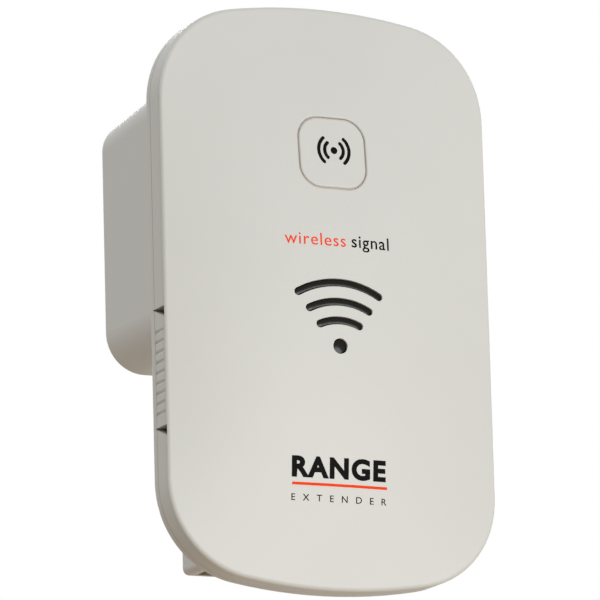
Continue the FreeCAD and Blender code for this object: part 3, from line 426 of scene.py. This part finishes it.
# ---- Rating label --------------------------------------------------------------------------
# A blank silvery polyester label on the back, stuck between the power block and the socket.
# Thin grey rules are its only print, and it is glossier and flatter than the ABS round it.
def lines(tree, along, pitch, width, start=0.0):
    """1 on lines of a width that repeat every pitch along a value, and 0 between them."""
    moved = node(tree, "Math", {"operation": "SUBTRACT", 0: along, 1: start})
    nearest = node(tree, "Math", {"operation": "PINGPONG", 0: moved.outputs[0], 1: pitch / 2})
    return node(tree, "Math", {"operation": "LESS_THAN", 0: nearest.outputs[0],
                               1: width / 2}).outputs[0]


def cover_with(tree, shader, mask, colour, roughness, metallic=0.0):
    """Where mask is 1, lay another finish over what the shader has."""
    for socket, value in (("Roughness", roughness), ("Metallic", metallic)):
        under = shader.inputs[socket]
        below = under.links[0].from_socket if under.links else under.default_value
        node(tree, "MapRange", {"Value": mask, "To Min": below, "To Max": value}, into=under)
    under = shader.inputs["Base Color"]
    node(tree, "MixRGB", {"Fac": mask, "Color1": under.links[0].from_socket,
                          "Color2": linear(colour)}, into=under)


RULE_PITCH = 0.0021
RULE_WIDTH = 0.00016
label_film, tree, shader, place, patches = surface(
    "label_polyester", 0.003, ("#C6C9CB", "#BDC0C2"), (0.24, 0.34))
axes = node(tree, "SeparateXYZ", Vector=place)
rules = lines(tree, axes.outputs["Z"], RULE_PITCH, RULE_WIDTH)
cover_with(tree, shader, rules, "#5E6264", 0.5)
node(tree, "Bump", {"Height": patches, "Distance": 0.00001}, into=shader.inputs["Normal"])
wear(label_film, "rating_label")


# ---- Screws --------------------------------------------------------------------------------
# Cross-head thread-forming screws, steel with a bright zinc plate: a bluish silver with duller
# patches and fine pits in the plate, and the thread's ridges on the shank.
THREAD_PITCH = 0.0009
PLATE_PIT = 0.00018            # about 0.05 mm on a real screw, drawn coarser so that it shows
PIT_SHARE = 0.15               # how deep the pits are beside the ridges of the thread
WAVE_RADIANS = 20              # what a wave texture turns through in a metre at scale 1
zinc, tree, shader, place, patches = surface(
    "zinc_plated_steel", 0.0009, ("#BCC0C4", "#9A9EA2"), (0.24, 0.42), 1.0)
thread = node(tree, "TexWave", {"bands_direction": "Y", "Vector": place,
                                "Scale": 2 * math.pi / WAVE_RADIANS / THREAD_PITCH})
pits = node(tree, "TexNoise", {"Scale": 1 / PLATE_PIT, "Detail": 2.0}, Vector=place)
ridges = node(tree, "Math", {"operation": "MULTIPLY_ADD", 0: pits.outputs["Fac"], 1: PIT_SHARE,
                             2: thread.outputs["Fac"]})
node(tree, "Bump", {"Height": ridges.outputs[0], "Distance": 0.00008},
     into=shader.inputs["Normal"])
wear(zinc, "case_screws", "main_pcb_screws", "power_pcb_screws")


# ---- Mains blades --------------------------------------------------------------------------
# Two flat pins blanked from brass strip and nickel plated, with their edges rounded in a
# tumbler.  Rolling leaves faint lines along the strip; plugging in wears the ends duller.
def grain(tree, shader, place, lengths, depth):
    """Fine relief of a depth, in grains with lengths in metres along X, Y and Z."""
    scaled = node(tree, "Mapping", {"Scale": tuple(1 / n for n in lengths)}, Vector=place)
    noise = node(tree, "TexNoise", {"Scale": 1.0, "Detail": 2.0}, Vector=scaled.outputs[0])
    node(tree, "Bump", {"Height": noise.outputs["Fac"], "Distance": depth},
         into=shader.inputs["Normal"])


BLADE_EDGE = 0.00018
ROLLED_LINE = 0.0002           # about 0.05 mm wide on real strip, drawn coarser
ROLLED_LENGTH = 0.012
WORN_LENGTH = 0.006
nickel, tree, shader, place, patches = surface(
    "nickel_plated_brass", 0.0025, ("#CFCBC1", "#BDB6A6"), (0.2, 0.34), 1.0)
grain(tree, shader, place, (ROLLED_LINE, ROLLED_LENGTH, ROLLED_LINE), 0.000006)
axes = node(tree, "SeparateXYZ", Vector=place)
blade_low, blade_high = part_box("blade_left")
rubbed = node(tree, "MapRange", {"Value": axes.outputs["Y"], "From Min": blade_high.y - WORN_LENGTH,
                                 "From Max": blade_high.y, "To Max": 0.5})
cover_with(tree, shader, rubbed.outputs["Result"], "#B9AE96", 0.42, 1.0)
for side in ("left", "right"):
    blade = bmesh_of("blade_" + side)
    soften(blade, BLADE_EDGE, segments=3)
    add_piece("plated_blade_" + side, blade, nickel, "case", "nickel_brass", "blade_" + side)


# ---- Black plastic parts -------------------------------------------------------------------
# Blade carrier, network socket, lamp baffle and switch plungers: black glass-filled PBT, moulded
# with a fine matt texture in which short glass fibres show as faint pale flecks.
FIBRE = 0.0003                 # fibres are about 0.2 mm long
FIBRE_SHARE = 0.16
PBT_GRAIN = 0.00022
black_pbt, tree, shader, place, patches = surface(
    "black_glass_filled_pbt", 0.004, ("#191919", "#131312"), (0.44, 0.58))
fibres = node(tree, "TexVoronoi", {"Scale": 1 / FIBRE}, Vector=place)
flecks = node(tree, "Math", {"operation": "LESS_THAN", 0: fibres.outputs["Distance"],
                             1: FIBRE_SHARE})
cover_with(tree, shader, flecks.outputs[0], "#2B2A28", 0.4)
grain(tree, shader, place, (PBT_GRAIN, PBT_GRAIN, PBT_GRAIN), 0.000012)
wear(black_pbt, "blade_carrier", "network_socket", "led_baffle", "wps_switch_plunger",
     "reset_switch_plunger")


# ---- Switch bodies -------------------------------------------------------------------------
# Low tact switches: a black nylon tub with a stamped stainless cover clipped over the side that
# is pressed, so that side is bright brushed steel and the flanks are dull black.
BRUSH_LINE = 0.0001
BRUSH_LENGTH = 0.003
switch_body, tree, shader, place, patches = surface(
    "nylon_and_stainless", 0.0012, ("#1E1E1D", "#151514"), (0.42, 0.56))
facing = node(tree, "SeparateXYZ", Vector=node(tree, "TexCoord").outputs["Normal"])
front = node(tree, "Math", {"operation": "LESS_THAN", 0: facing.outputs["Y"], 1: -0.7})
lower = node(tree, "Math", {"operation": "LESS_THAN", 0: facing.outputs["Z"], 1: -0.7})
cover = node(tree, "Math", {"operation": "MAXIMUM", 0: front.outputs[0], 1: lower.outputs[0]})
cover_with(tree, shader, cover.outputs[0], "#A9A9A6", 0.34, 1.0)
grain(tree, shader, place, (BRUSH_LENGTH, BRUSH_LINE, BRUSH_LINE), 0.000006)
wear(switch_body, "wps_switch_body", "reset_switch_body")


# ---- Socket contacts and board link --------------------------------------------------------
# Phosphor bronze wires and square pins with a thin gold plate, drawn smooth: a warm polished
# yellow in faint clouds.  The link's pins stand in a black nylon base.
GOLD = (0.0008, ("#E4BA60", "#CE9E48"), (0.16, 0.28), 1.0)
LINK_BASE_T = 0.0025
BASE_MARGIN = 0.00005
gold, tree, shader, place, patches = surface("gold_plated_bronze", *GOLD)
node(tree, "Bump", {"Height": patches, "Distance": 0.000004}, into=shader.inputs["Normal"])
wear(gold, "network_socket_contacts")

board_low, board_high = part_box("power_pcb")
link, tree, shader, place, patches = surface("gold_pins_in_nylon", *GOLD)
axes = node(tree, "SeparateXYZ", Vector=place)
base = node(tree, "Math", {"operation": "COMPARE", 0: axes.outputs["Y"],
                           1: board_low.y - LINK_BASE_T / 2, 2: LINK_BASE_T / 2 + BASE_MARGIN})
cover_with(tree, shader, base.outputs[0], "#181818", 0.5)
node(tree, "Bump", {"Height": patches, "Distance": 0.000004}, into=shader.inputs["Normal"])
wear(link, "board_link_pins")


# ---- Sprung blade contacts -----------------------------------------------------------------
# Bent from hard brass strip and left unplated: a deeper yellow than the gold, with brown tarnish
# in clouds and the lines of the rolling mill along each leaf.
SPRING_LINE_LENGTH = 0.008
spring_brass, tree, shader, place, patches = surface(
    "spring_brass", 0.0018, ("#D0AA5E", "#9C7638"), (0.24, 0.48), 1.0)
grain(tree, shader, place, (ROLLED_LINE, SPRING_LINE_LENGTH, ROLLED_LINE), 0.000008)
wear(spring_brass, "blade_contacts")


# ---- Circuit boards ------------------------------------------------------------------------
# Glass-epoxy laminate with green solder mask.  Copper tracks show as slightly raised lighter
# lines under the mask, with tinned vias, and the routed edges show bare tan laminate.
REGION = 0.0085                # a patch in which the tracks run one way
TRACK_PITCH = 0.0009           # about 0.4 mm on a real board, drawn coarser so that they show
TRACK_WIDTH = 0.00028
VIA_CELL = 0.0045
VIA_SHARE = 0.1
laminate, tree, shader, place, patches = surface(
    "solder_mask_on_laminate", 0.006, ("#1B5C37", "#22683F"), (0.36, 0.46),
    **{"Specular IOR Level": 0.35})
regions = node(tree, "TexVoronoi", {"distance": "CHEBYCHEV", "Scale": 1 / REGION}, Vector=place)
choice = node(tree, "SeparateXYZ", {0: regions.outputs["Color"]}).outputs["X"]
axes = node(tree, "SeparateXYZ", Vector=place)
copper = None
for axis, middle_choice in (("Z", 0.2), ("X", 0.6)):
    here = node(tree, "Math", {"operation": "COMPARE", 0: choice, 1: middle_choice, 2: 0.2})
    run = lines(tree, axes.outputs[axis], TRACK_PITCH, TRACK_WIDTH)
    tracks = node(tree, "Math", {"operation": "MULTIPLY", 0: here.outputs[0], 1: run})
    copper = tracks if copper is None else node(
        tree, "Math", {"operation": "MAXIMUM", 0: copper.outputs[0], 1: tracks.outputs[0]})
cover_with(tree, shader, copper.outputs[0], "#3C8757", 0.38)
holes = node(tree, "TexVoronoi", {"Scale": 1 / VIA_CELL}, Vector=place)
vias = node(tree, "Math", {"operation": "LESS_THAN", 0: holes.outputs["Distance"], 1: VIA_SHARE})
cover_with(tree, shader, vias.outputs[0], "#C3C4C2", 0.3, 1.0)
facing = node(tree, "SeparateXYZ", Vector=node(tree, "TexCoord").outputs["Normal"])
flat = node(tree, "Math", {"operation": "ABSOLUTE", 0: facing.outputs["Y"]})
edge = node(tree, "Math", {"operation": "LESS_THAN", 0: flat.outputs[0], 1: 0.5})
cover_with(tree, shader, edge.outputs[0], "#A8945F", 0.7)
node(tree, "Bump", {"Height": copper.outputs[0], "Distance": 0.000035},
     into=shader.inputs["Normal"])
wear(laminate, "main_pcb", "power_pcb")


# ---- Chips ---------------------------------------------------------------------------------
# Packages transfer-moulded in black epoxy: matt, very finely grained, with soft edges and a
# small polished dimple that marks the first pin.  No lettering is marked on them.
CHIP_EDGE = 0.00012
DIMPLE_R = 0.00035
DIMPLE_INSET = 0.0008
DIMPLE_FILM = 0.00001
EPOXY = (0.00035, ("#1F1F21", "#171719"), (0.48, 0.62))
epoxy, tree, shader, place, patches = surface("moulded_black_epoxy", *EPOXY)
node(tree, "Bump", {"Height": patches, "Distance": 0.00001}, into=shader.inputs["Normal"])
CHIPS = ("processor_chip", "memory_chip", "flash_chip", "voltage_regulator",
         "network_transformer", "bridge_rectifier", "optocoupler", "power_controller")
for name in CHIPS:
    chip = bmesh_of(name)
    chip_low, chip_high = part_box(name)
    mark = Vector((chip_low.x + DIMPLE_INSET, chip_high.y, chip_high.z - DIMPLE_INSET))
    soften(chip, CHIP_EDGE)
    add_piece("moulded_" + name, chip, epoxy, "case", "chip_epoxy", name)
    dimple = bmesh.new()
    bmesh.ops.create_circle(dimple, cap_ends=True, segments=20, radius=DIMPLE_R,
                            matrix=Matrix.Translation(mark)
                            @ Matrix.Rotation(-math.pi / 2, 4, "X"))
    bmesh.ops.solidify(dimple, geom=dimple.faces[:], thickness=DIMPLE_FILM)
    add_piece("dimple_" + name, dimple, smoked, "case", "chip_epoxy")


# ---- Chip leads ----------------------------------------------------------------------------
# Copper leads with a matt tin plate, cropped and bent to gull wings that lie on the board.
# They read as even rows of small bright steps along the sides of each package.
LEAD_T = 0.00015
LEAD_RISE = 0.55               # where leads leave a package, as a share of its thickness
LEAD_ROOT, LEAD_KNEE = 0.2, 0.5        # inside the package and out to the bend, of the reach


def add_box(shape, one, other):
    """Add a box between two opposite corners."""
    low = Vector(min(pair) for pair in zip(one, other))
    high = Vector(max(pair) for pair in zip(one, other))
    bmesh.ops.create_cube(shape, size=1, matrix=Matrix.Translation((low + high) / 2)
                          @ Matrix.Diagonal((*(high - low), 1)))


def add_leads(shape, name, axis, count, pitch, width, reach):
    """Gull-wing leads on the two sides of a package that face along axis (0 for X, 2 for Z)."""
    low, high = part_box(name)
    board, shoulder = low.y, (high.y - low.y) * LEAD_RISE
    bend = LEAD_KNEE - LEAD_T / reach
    for side, edge in ((-1, low[axis]), (1, high[axis])):
        for i in range(count):
            across = (low[2 - axis] + high[2 - axis]) / 2 + (i - (count - 1) / 2) * pitch
            for out0, out1, y0, y1 in ((-LEAD_ROOT, LEAD_KNEE, shoulder - LEAD_T, shoulder),
                                       (bend, LEAD_KNEE, LEAD_T, shoulder - LEAD_T),
                                       (bend, 1.0, 0.0, LEAD_T)):
                corners = [Vector((0, board + y, 0)) for y in (y0, y1)]
                for corner, out, half in zip(corners, (out0, out1), (-width / 2, width / 2)):
                    corner[axis] = edge + side * out * reach
                    corner[2 - axis] = across + half
                add_box(shape, *corners)


tin, tree, shader, place, patches = surface(
    "tin_plate", 0.0006, ("#C2C3C3", "#A5A6A7"), (0.28, 0.46), 1.0)
node(tree, "Bump", {"Height": patches, "Distance": 0.000008}, into=shader.inputs["Normal"])
leads = bmesh.new()
for name, axis, count, pitch, width, reach in (
        ("processor_chip", 0, 14, 0.0008, 0.0003, 0.0010),
        ("processor_chip", 2, 14, 0.0008, 0.0003, 0.0010),
        ("memory_chip", 0, 12, 0.0008, 0.0003, 0.0009),
        ("flash_chip", 0, 4, 0.00127, 0.0004, 0.0010),
        ("voltage_regulator", 0, 3, 0.0023, 0.0008, 0.0012),
        ("network_transformer", 2, 8, 0.00127, 0.0004, 0.0011),
        ("bridge_rectifier", 0, 2, 0.0051, 0.0009, 0.0012),
        ("optocoupler", 2, 2, 0.00254, 0.0008, 0.0009),
        ("power_controller", 2, 4, 0.00127, 0.0004, 0.0010),
        ("output_diode", 0, 1, 0.0028, 0.0015, 0.0008)):
    add_leads(leads, name, axis, count, pitch, width, reach)
add_piece("chip_leads", leads, tin, "case", "tinned_steel")


# ---- Output diode --------------------------------------------------------------------------
# A surface-mount rectifier in the same black epoxy, with a pale grey band printed across one
# end to mark its cathode.
BAND_WIDTH = 0.0008
diode, tree, shader, place, patches = surface("banded_black_epoxy", *EPOXY)
diode_low, diode_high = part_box("output_diode")
axes = node(tree, "SeparateXYZ", Vector=place)
ring = node(tree, "Math", {"operation": "COMPARE", 0: axes.outputs["X"],
                           1: diode_low.x + 1.5 * BAND_WIDTH, 2: BAND_WIDTH / 2})
cover_with(tree, shader, ring.outputs[0], "#B7B8B6", 0.5)
node(tree, "Bump", {"Height": patches, "Distance": 0.00001}, into=shader.inputs["Normal"])
wear(diode, "output_diode")


# ---- Heatsink and thermal pad --------------------------------------------------------------
# The heatsink is extruded aluminium, sawn off and anodised black: fine die lines run along its
# fins and its edges are broken.  Under it lies a soft grey-blue silicone pad, matt and pitted.
FIN_EDGE = 0.00012
DIE_LINE = 0.00018
DIE_LINE_LENGTH = 0.02
anodised, tree, shader, place, patches = surface(
    "black_anodised_aluminium", 0.003, ("#2A2B2E", "#222326"), (0.36, 0.5), 0.6)
grain(tree, shader, place, (DIE_LINE, DIE_LINE, DIE_LINE_LENGTH), 0.00001)
sink = bmesh_of("heatsink")
soften(sink, FIN_EDGE)
add_piece("anodised_heatsink", sink, anodised, "case", "black_aluminium", "heatsink")

PAD_PIT = 0.0005
pad, tree, shader, place, patches = surface(
    "silicone_pad", 0.002, ("#93A5B2", "#8798A4"), (0.66, 0.8))
pits = node(tree, "TexVoronoi", {"Scale": 1 / PAD_PIT}, Vector=place)
node(tree, "Bump", {"Height": pits.outputs["Distance"], "Distance": 0.00003},
     into=shader.inputs["Normal"])
wear(pad, "thermal_pad")


# ---- Shield can, antennas and crystal ------------------------------------------------------
# Pressed from tinned steel sheet.  The can has rows of small vent holes, drawn as dots of
# painted shade, and bent edges; the antennas and the crystal's lid are bare with faint rolling
# lines.
TINNED_SHEET = (0.002, ("#BABCBD", "#A0A2A4"), (0.24, 0.42), 1.0)
SHEET_LINE_LENGTH = 0.01
CAN_HOLE_PITCH = 0.0020
CAN_HOLE = 0.0008
CAN_EDGE = 0.00025
CAN_TOP_DEPTH = 0.0001         # only edges this near the top are bent
steel, tree, shader, place, patches = surface("tinned_steel_sheet", *TINNED_SHEET)
grain(tree, shader, place, (SHEET_LINE_LENGTH, ROLLED_LINE, ROLLED_LINE), 0.000008)
wear(steel, "antenna_left", "antenna_right", "clock_crystal")

can_steel, tree, shader, place, patches = surface(
    "tinned_steel_painted_hole_shade", *TINNED_SHEET)
can_low, can_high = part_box("radio_shield_can")
axes = node(tree, "SeparateXYZ", Vector=place)
offsets = []
for axis, start in (("X", (can_low.x + can_high.x) / 2), ("Z", (can_low.z + can_high.z) / 2)):
    moved = node(tree, "Math", {"operation": "SUBTRACT", 0: axes.outputs[axis], 1: start})
    offsets.append(node(tree, "Math", {"operation": "PINGPONG", 0: moved.outputs[0],
                                       1: CAN_HOLE_PITCH / 2}).outputs[0])
spot = node(tree, "CombineXYZ", {"X": offsets[0], "Y": offsets[1]})
away = node(tree, "VectorMath", {"operation": "LENGTH", 0: spot.outputs[0]})
# Dots of painted shade where the vent holes are: the sheet is whole, and the dark dots stand for
# the shadow seen through the holes.
holes = node(tree, "Math", {"operation": "LESS_THAN", 0: away.outputs["Value"],
                            1: CAN_HOLE / 2})
cover_with(tree, shader, holes.outputs[0], "#101010", 0.8)
can = bmesh_of("radio_shield_can")
soften(can, CAN_EDGE, segments=3, where=lambda co: co.y > can_high.y - CAN_TOP_DEPTH)
add_piece("perforated_can", can, can_steel, "case", "tinned_steel", "radio_shield_can")


# ---- Small ceramic capacitors --------------------------------------------------------------
# Blocks of fired tan ceramic with silvery tinned ends, in two rows beside the processor.
# They are soldered to the main board by their ends, so the tan shows between bright bands.
CAPACITOR_PITCH = 0.0040
CAPACITOR_LENGTH = 0.0016
CERAMIC_LENGTH = 0.0008        # bare ceramic between the ends
row_low, row_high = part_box("board_capacitors")
ceramic, tree, shader, place, patches = surface(
    "tan_ceramic", 0.0004, ("#AF926C", "#9E825C"), (0.4, 0.5))
axes = node(tree, "SeparateXYZ", Vector=place)
bodies = lines(tree, axes.outputs["X"], CAPACITOR_PITCH, CERAMIC_LENGTH,
               row_low.x + CAPACITOR_LENGTH / 2)
ends = node(tree, "Math", {"operation": "SUBTRACT", 0: 1.0, 1: bodies})
cover_with(tree, shader, ends.outputs[0], "#C4C4C2", 0.34, 1.0)
wear(ceramic, "board_capacitors")


# ---- Status lamps --------------------------------------------------------------------------
# Small white nylon lamp bodies with a yellow phosphor window in front and tinned ends.
# They are soldered to the main board, behind the light guide.
WINDOW_WIDTH = 0.0009
LAMP_BODY_WIDTH = 0.00124
lamp, tree, shader, place, patches = surface(
    "lamp_nylon_and_phosphor", 0.0006, ("#F0EEE8", "#E6E3DA"), (0.3, 0.42))
axes = node(tree, "SeparateXYZ", Vector=place)
window = node(tree, "Math", {"operation": "COMPARE", 0: axes.outputs["X"], 1: 0.0,
                             2: WINDOW_WIDTH / 2})
cover_with(tree, shader, window.outputs[0], "#E3C341", 0.2)
away = node(tree, "Math", {"operation": "ABSOLUTE", 0: axes.outputs["X"]})
ends = node(tree, "Math", {"operation": "GREATER_THAN", 0: away.outputs[0],
                           1: LAMP_BODY_WIDTH / 2})
cover_with(tree, shader, ends.outputs[0], "#C4C4C2", 0.34, 1.0)
wear(lamp, "status_leds")


# ---- Transformer ---------------------------------------------------------------------------
# Two ground ferrite halves, charcoal grey and slightly porous, round a bobbin wound with copper
# wire under yellow polyester tape, whose overlapping turns leave fine steps.
TAPE_STEP = 0.0012
TAPE_EDGE = 0.0001
WINDING_EDGE = 0.0012
FERRITE_EDGE = 0.0003
ferrite, tree, shader, place, patches = surface(
    "ground_ferrite", 0.0003, ("#414143", "#2F2F31"), (0.52, 0.7))
node(tree, "Bump", {"Height": patches, "Distance": 0.00003}, into=shader.inputs["Normal"])
core = bmesh_of("transformer_core")
soften(core, FERRITE_EDGE)
add_piece("ferrite_core", core, ferrite, "case", "ferrite", "transformer_core")

tape, tree, shader, place, patches = surface(
    "yellow_polyester_tape", 0.003, ("#DDB534", "#CCA022"), (0.22, 0.36))
axes = node(tree, "SeparateXYZ", Vector=place)
steps = lines(tree, axes.outputs["Y"], TAPE_STEP, TAPE_EDGE)
cover_with(tree, shader, steps, "#A57E16", 0.45)
node(tree, "Bump", {"Height": steps, "Distance": 0.00004}, into=shader.inputs["Normal"])
wound = bmesh_of("transformer_winding")
soften(wound, WINDING_EDGE, segments=4)
add_piece("taped_winding", wound, tape, "case", "winding_tape", "transformer_winding")


# ---- Electrolytic capacitors and choke -----------------------------------------------------
# Aluminium cans in a shrunk PVC sleeve.  The sleeve is dark and satin with a pale stripe on the
# negative side; the bare can shows as a bright disc on top.
SLEEVE_GRAIN = 0.0003
can_sleeve, tree, shader, place, patches = surface(
    "pvc_sleeve_on_aluminium", 0.002, ("#222B38", "#1B222D"), (0.24, 0.36))
facing = node(tree, "SeparateXYZ", Vector=node(tree, "TexCoord").outputs["Normal"])
stripe = node(tree, "Math", {"operation": "LESS_THAN", 0: facing.outputs["X"], 1: -0.88})
cover_with(tree, shader, stripe.outputs[0], "#A9AEB2", 0.36)
top = node(tree, "Math", {"operation": "GREATER_THAN", 0: facing.outputs["Y"], 1: 0.98})
cover_with(tree, shader, top.outputs[0], "#B7B8B8", 0.36, 1.0)
grain(tree, shader, place, (SLEEVE_GRAIN, SLEEVE_GRAIN, SLEEVE_GRAIN), 0.00001)
wear(can_sleeve, "input_capacitors", "output_capacitors", "filter_inductor")


# ---- Fuse ----------------------------------------------------------------------------------
# A ceramic-tube fuse with pressed nickel-plated caps: matt cream fired ceramic between two
# bright ends.
FUSE_CAP = 0.0016
fuse_low, fuse_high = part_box("fuse")
fuse_body, tree, shader, place, patches = surface(
    "fired_ceramic_and_caps", 0.0006, ("#D4C9B3", "#C4B69C"), (0.56, 0.7))
axes = node(tree, "SeparateXYZ", Vector=place)
tube = node(tree, "Math", {"operation": "COMPARE", 0: axes.outputs["X"],
                           1: (fuse_low.x + fuse_high.x) / 2,
                           2: (fuse_high.x - fuse_low.x) / 2 - FUSE_CAP})
caps = node(tree, "Math", {"operation": "SUBTRACT", 0: 1.0, 1: tube.outputs[0]})
cover_with(tree, shader, caps.outputs[0], "#C2BFB6", 0.24, 1.0)
node(tree, "Bump", {"Height": patches, "Distance": 0.00002}, into=shader.inputs["Normal"])
wear(fuse_body, "fuse")


# ---- Noise capacitor -----------------------------------------------------------------------
# A film capacitor dipped in blue epoxy: thick and glossy, rounded everywhere, with the slight
# orange-peel of a dipped coat.
DIP_EDGE = 0.0012
PEEL = 0.0009
dipped, tree, shader, place, patches = surface(
    "dipped_blue_epoxy", 0.0025, ("#2354A2", "#1B4689"), (0.14, 0.26))
peel = node(tree, "TexNoise", {"Scale": 1 / PEEL, "Detail": 1.0}, Vector=place)
node(tree, "Bump", {"Height": peel.outputs["Fac"], "Distance": 0.00005},
     into=shader.inputs["Normal"])
coat = bmesh_of("noise_capacitor")
soften(coat, DIP_EDGE, segments=5)
add_piece("dipped_capacitor", coat, dipped, "case", "capacitor_blue", "noise_capacitor")


# ---- Insulation sheet ----------------------------------------------------------------------
# Milky polypropylene film between the mains board and the low voltage board, die cut, with a
# faint embossed grid that stops it sticking.
EMBOSS_PITCH = 0.0010
EMBOSS_LINE = 0.00015
insulation, tree, shader, place, patches = surface(
    "milky_polypropylene", 0.006, ("#DDDED8", "#D2D3CC"), (0.36, 0.5))
axes = node(tree, "SeparateXYZ", Vector=place)
grids = [lines(tree, axes.outputs[axis], EMBOSS_PITCH, EMBOSS_LINE) for axis in ("X", "Z")]
grid = node(tree, "Math", {"operation": "MAXIMUM", 0: grids[0], 1: grids[1]})
node(tree, "Bump", {"Height": grid.outputs[0], "Distance": 0.00003}, into=shader.inputs["Normal"])
wear(insulation, "insulation_sheet")
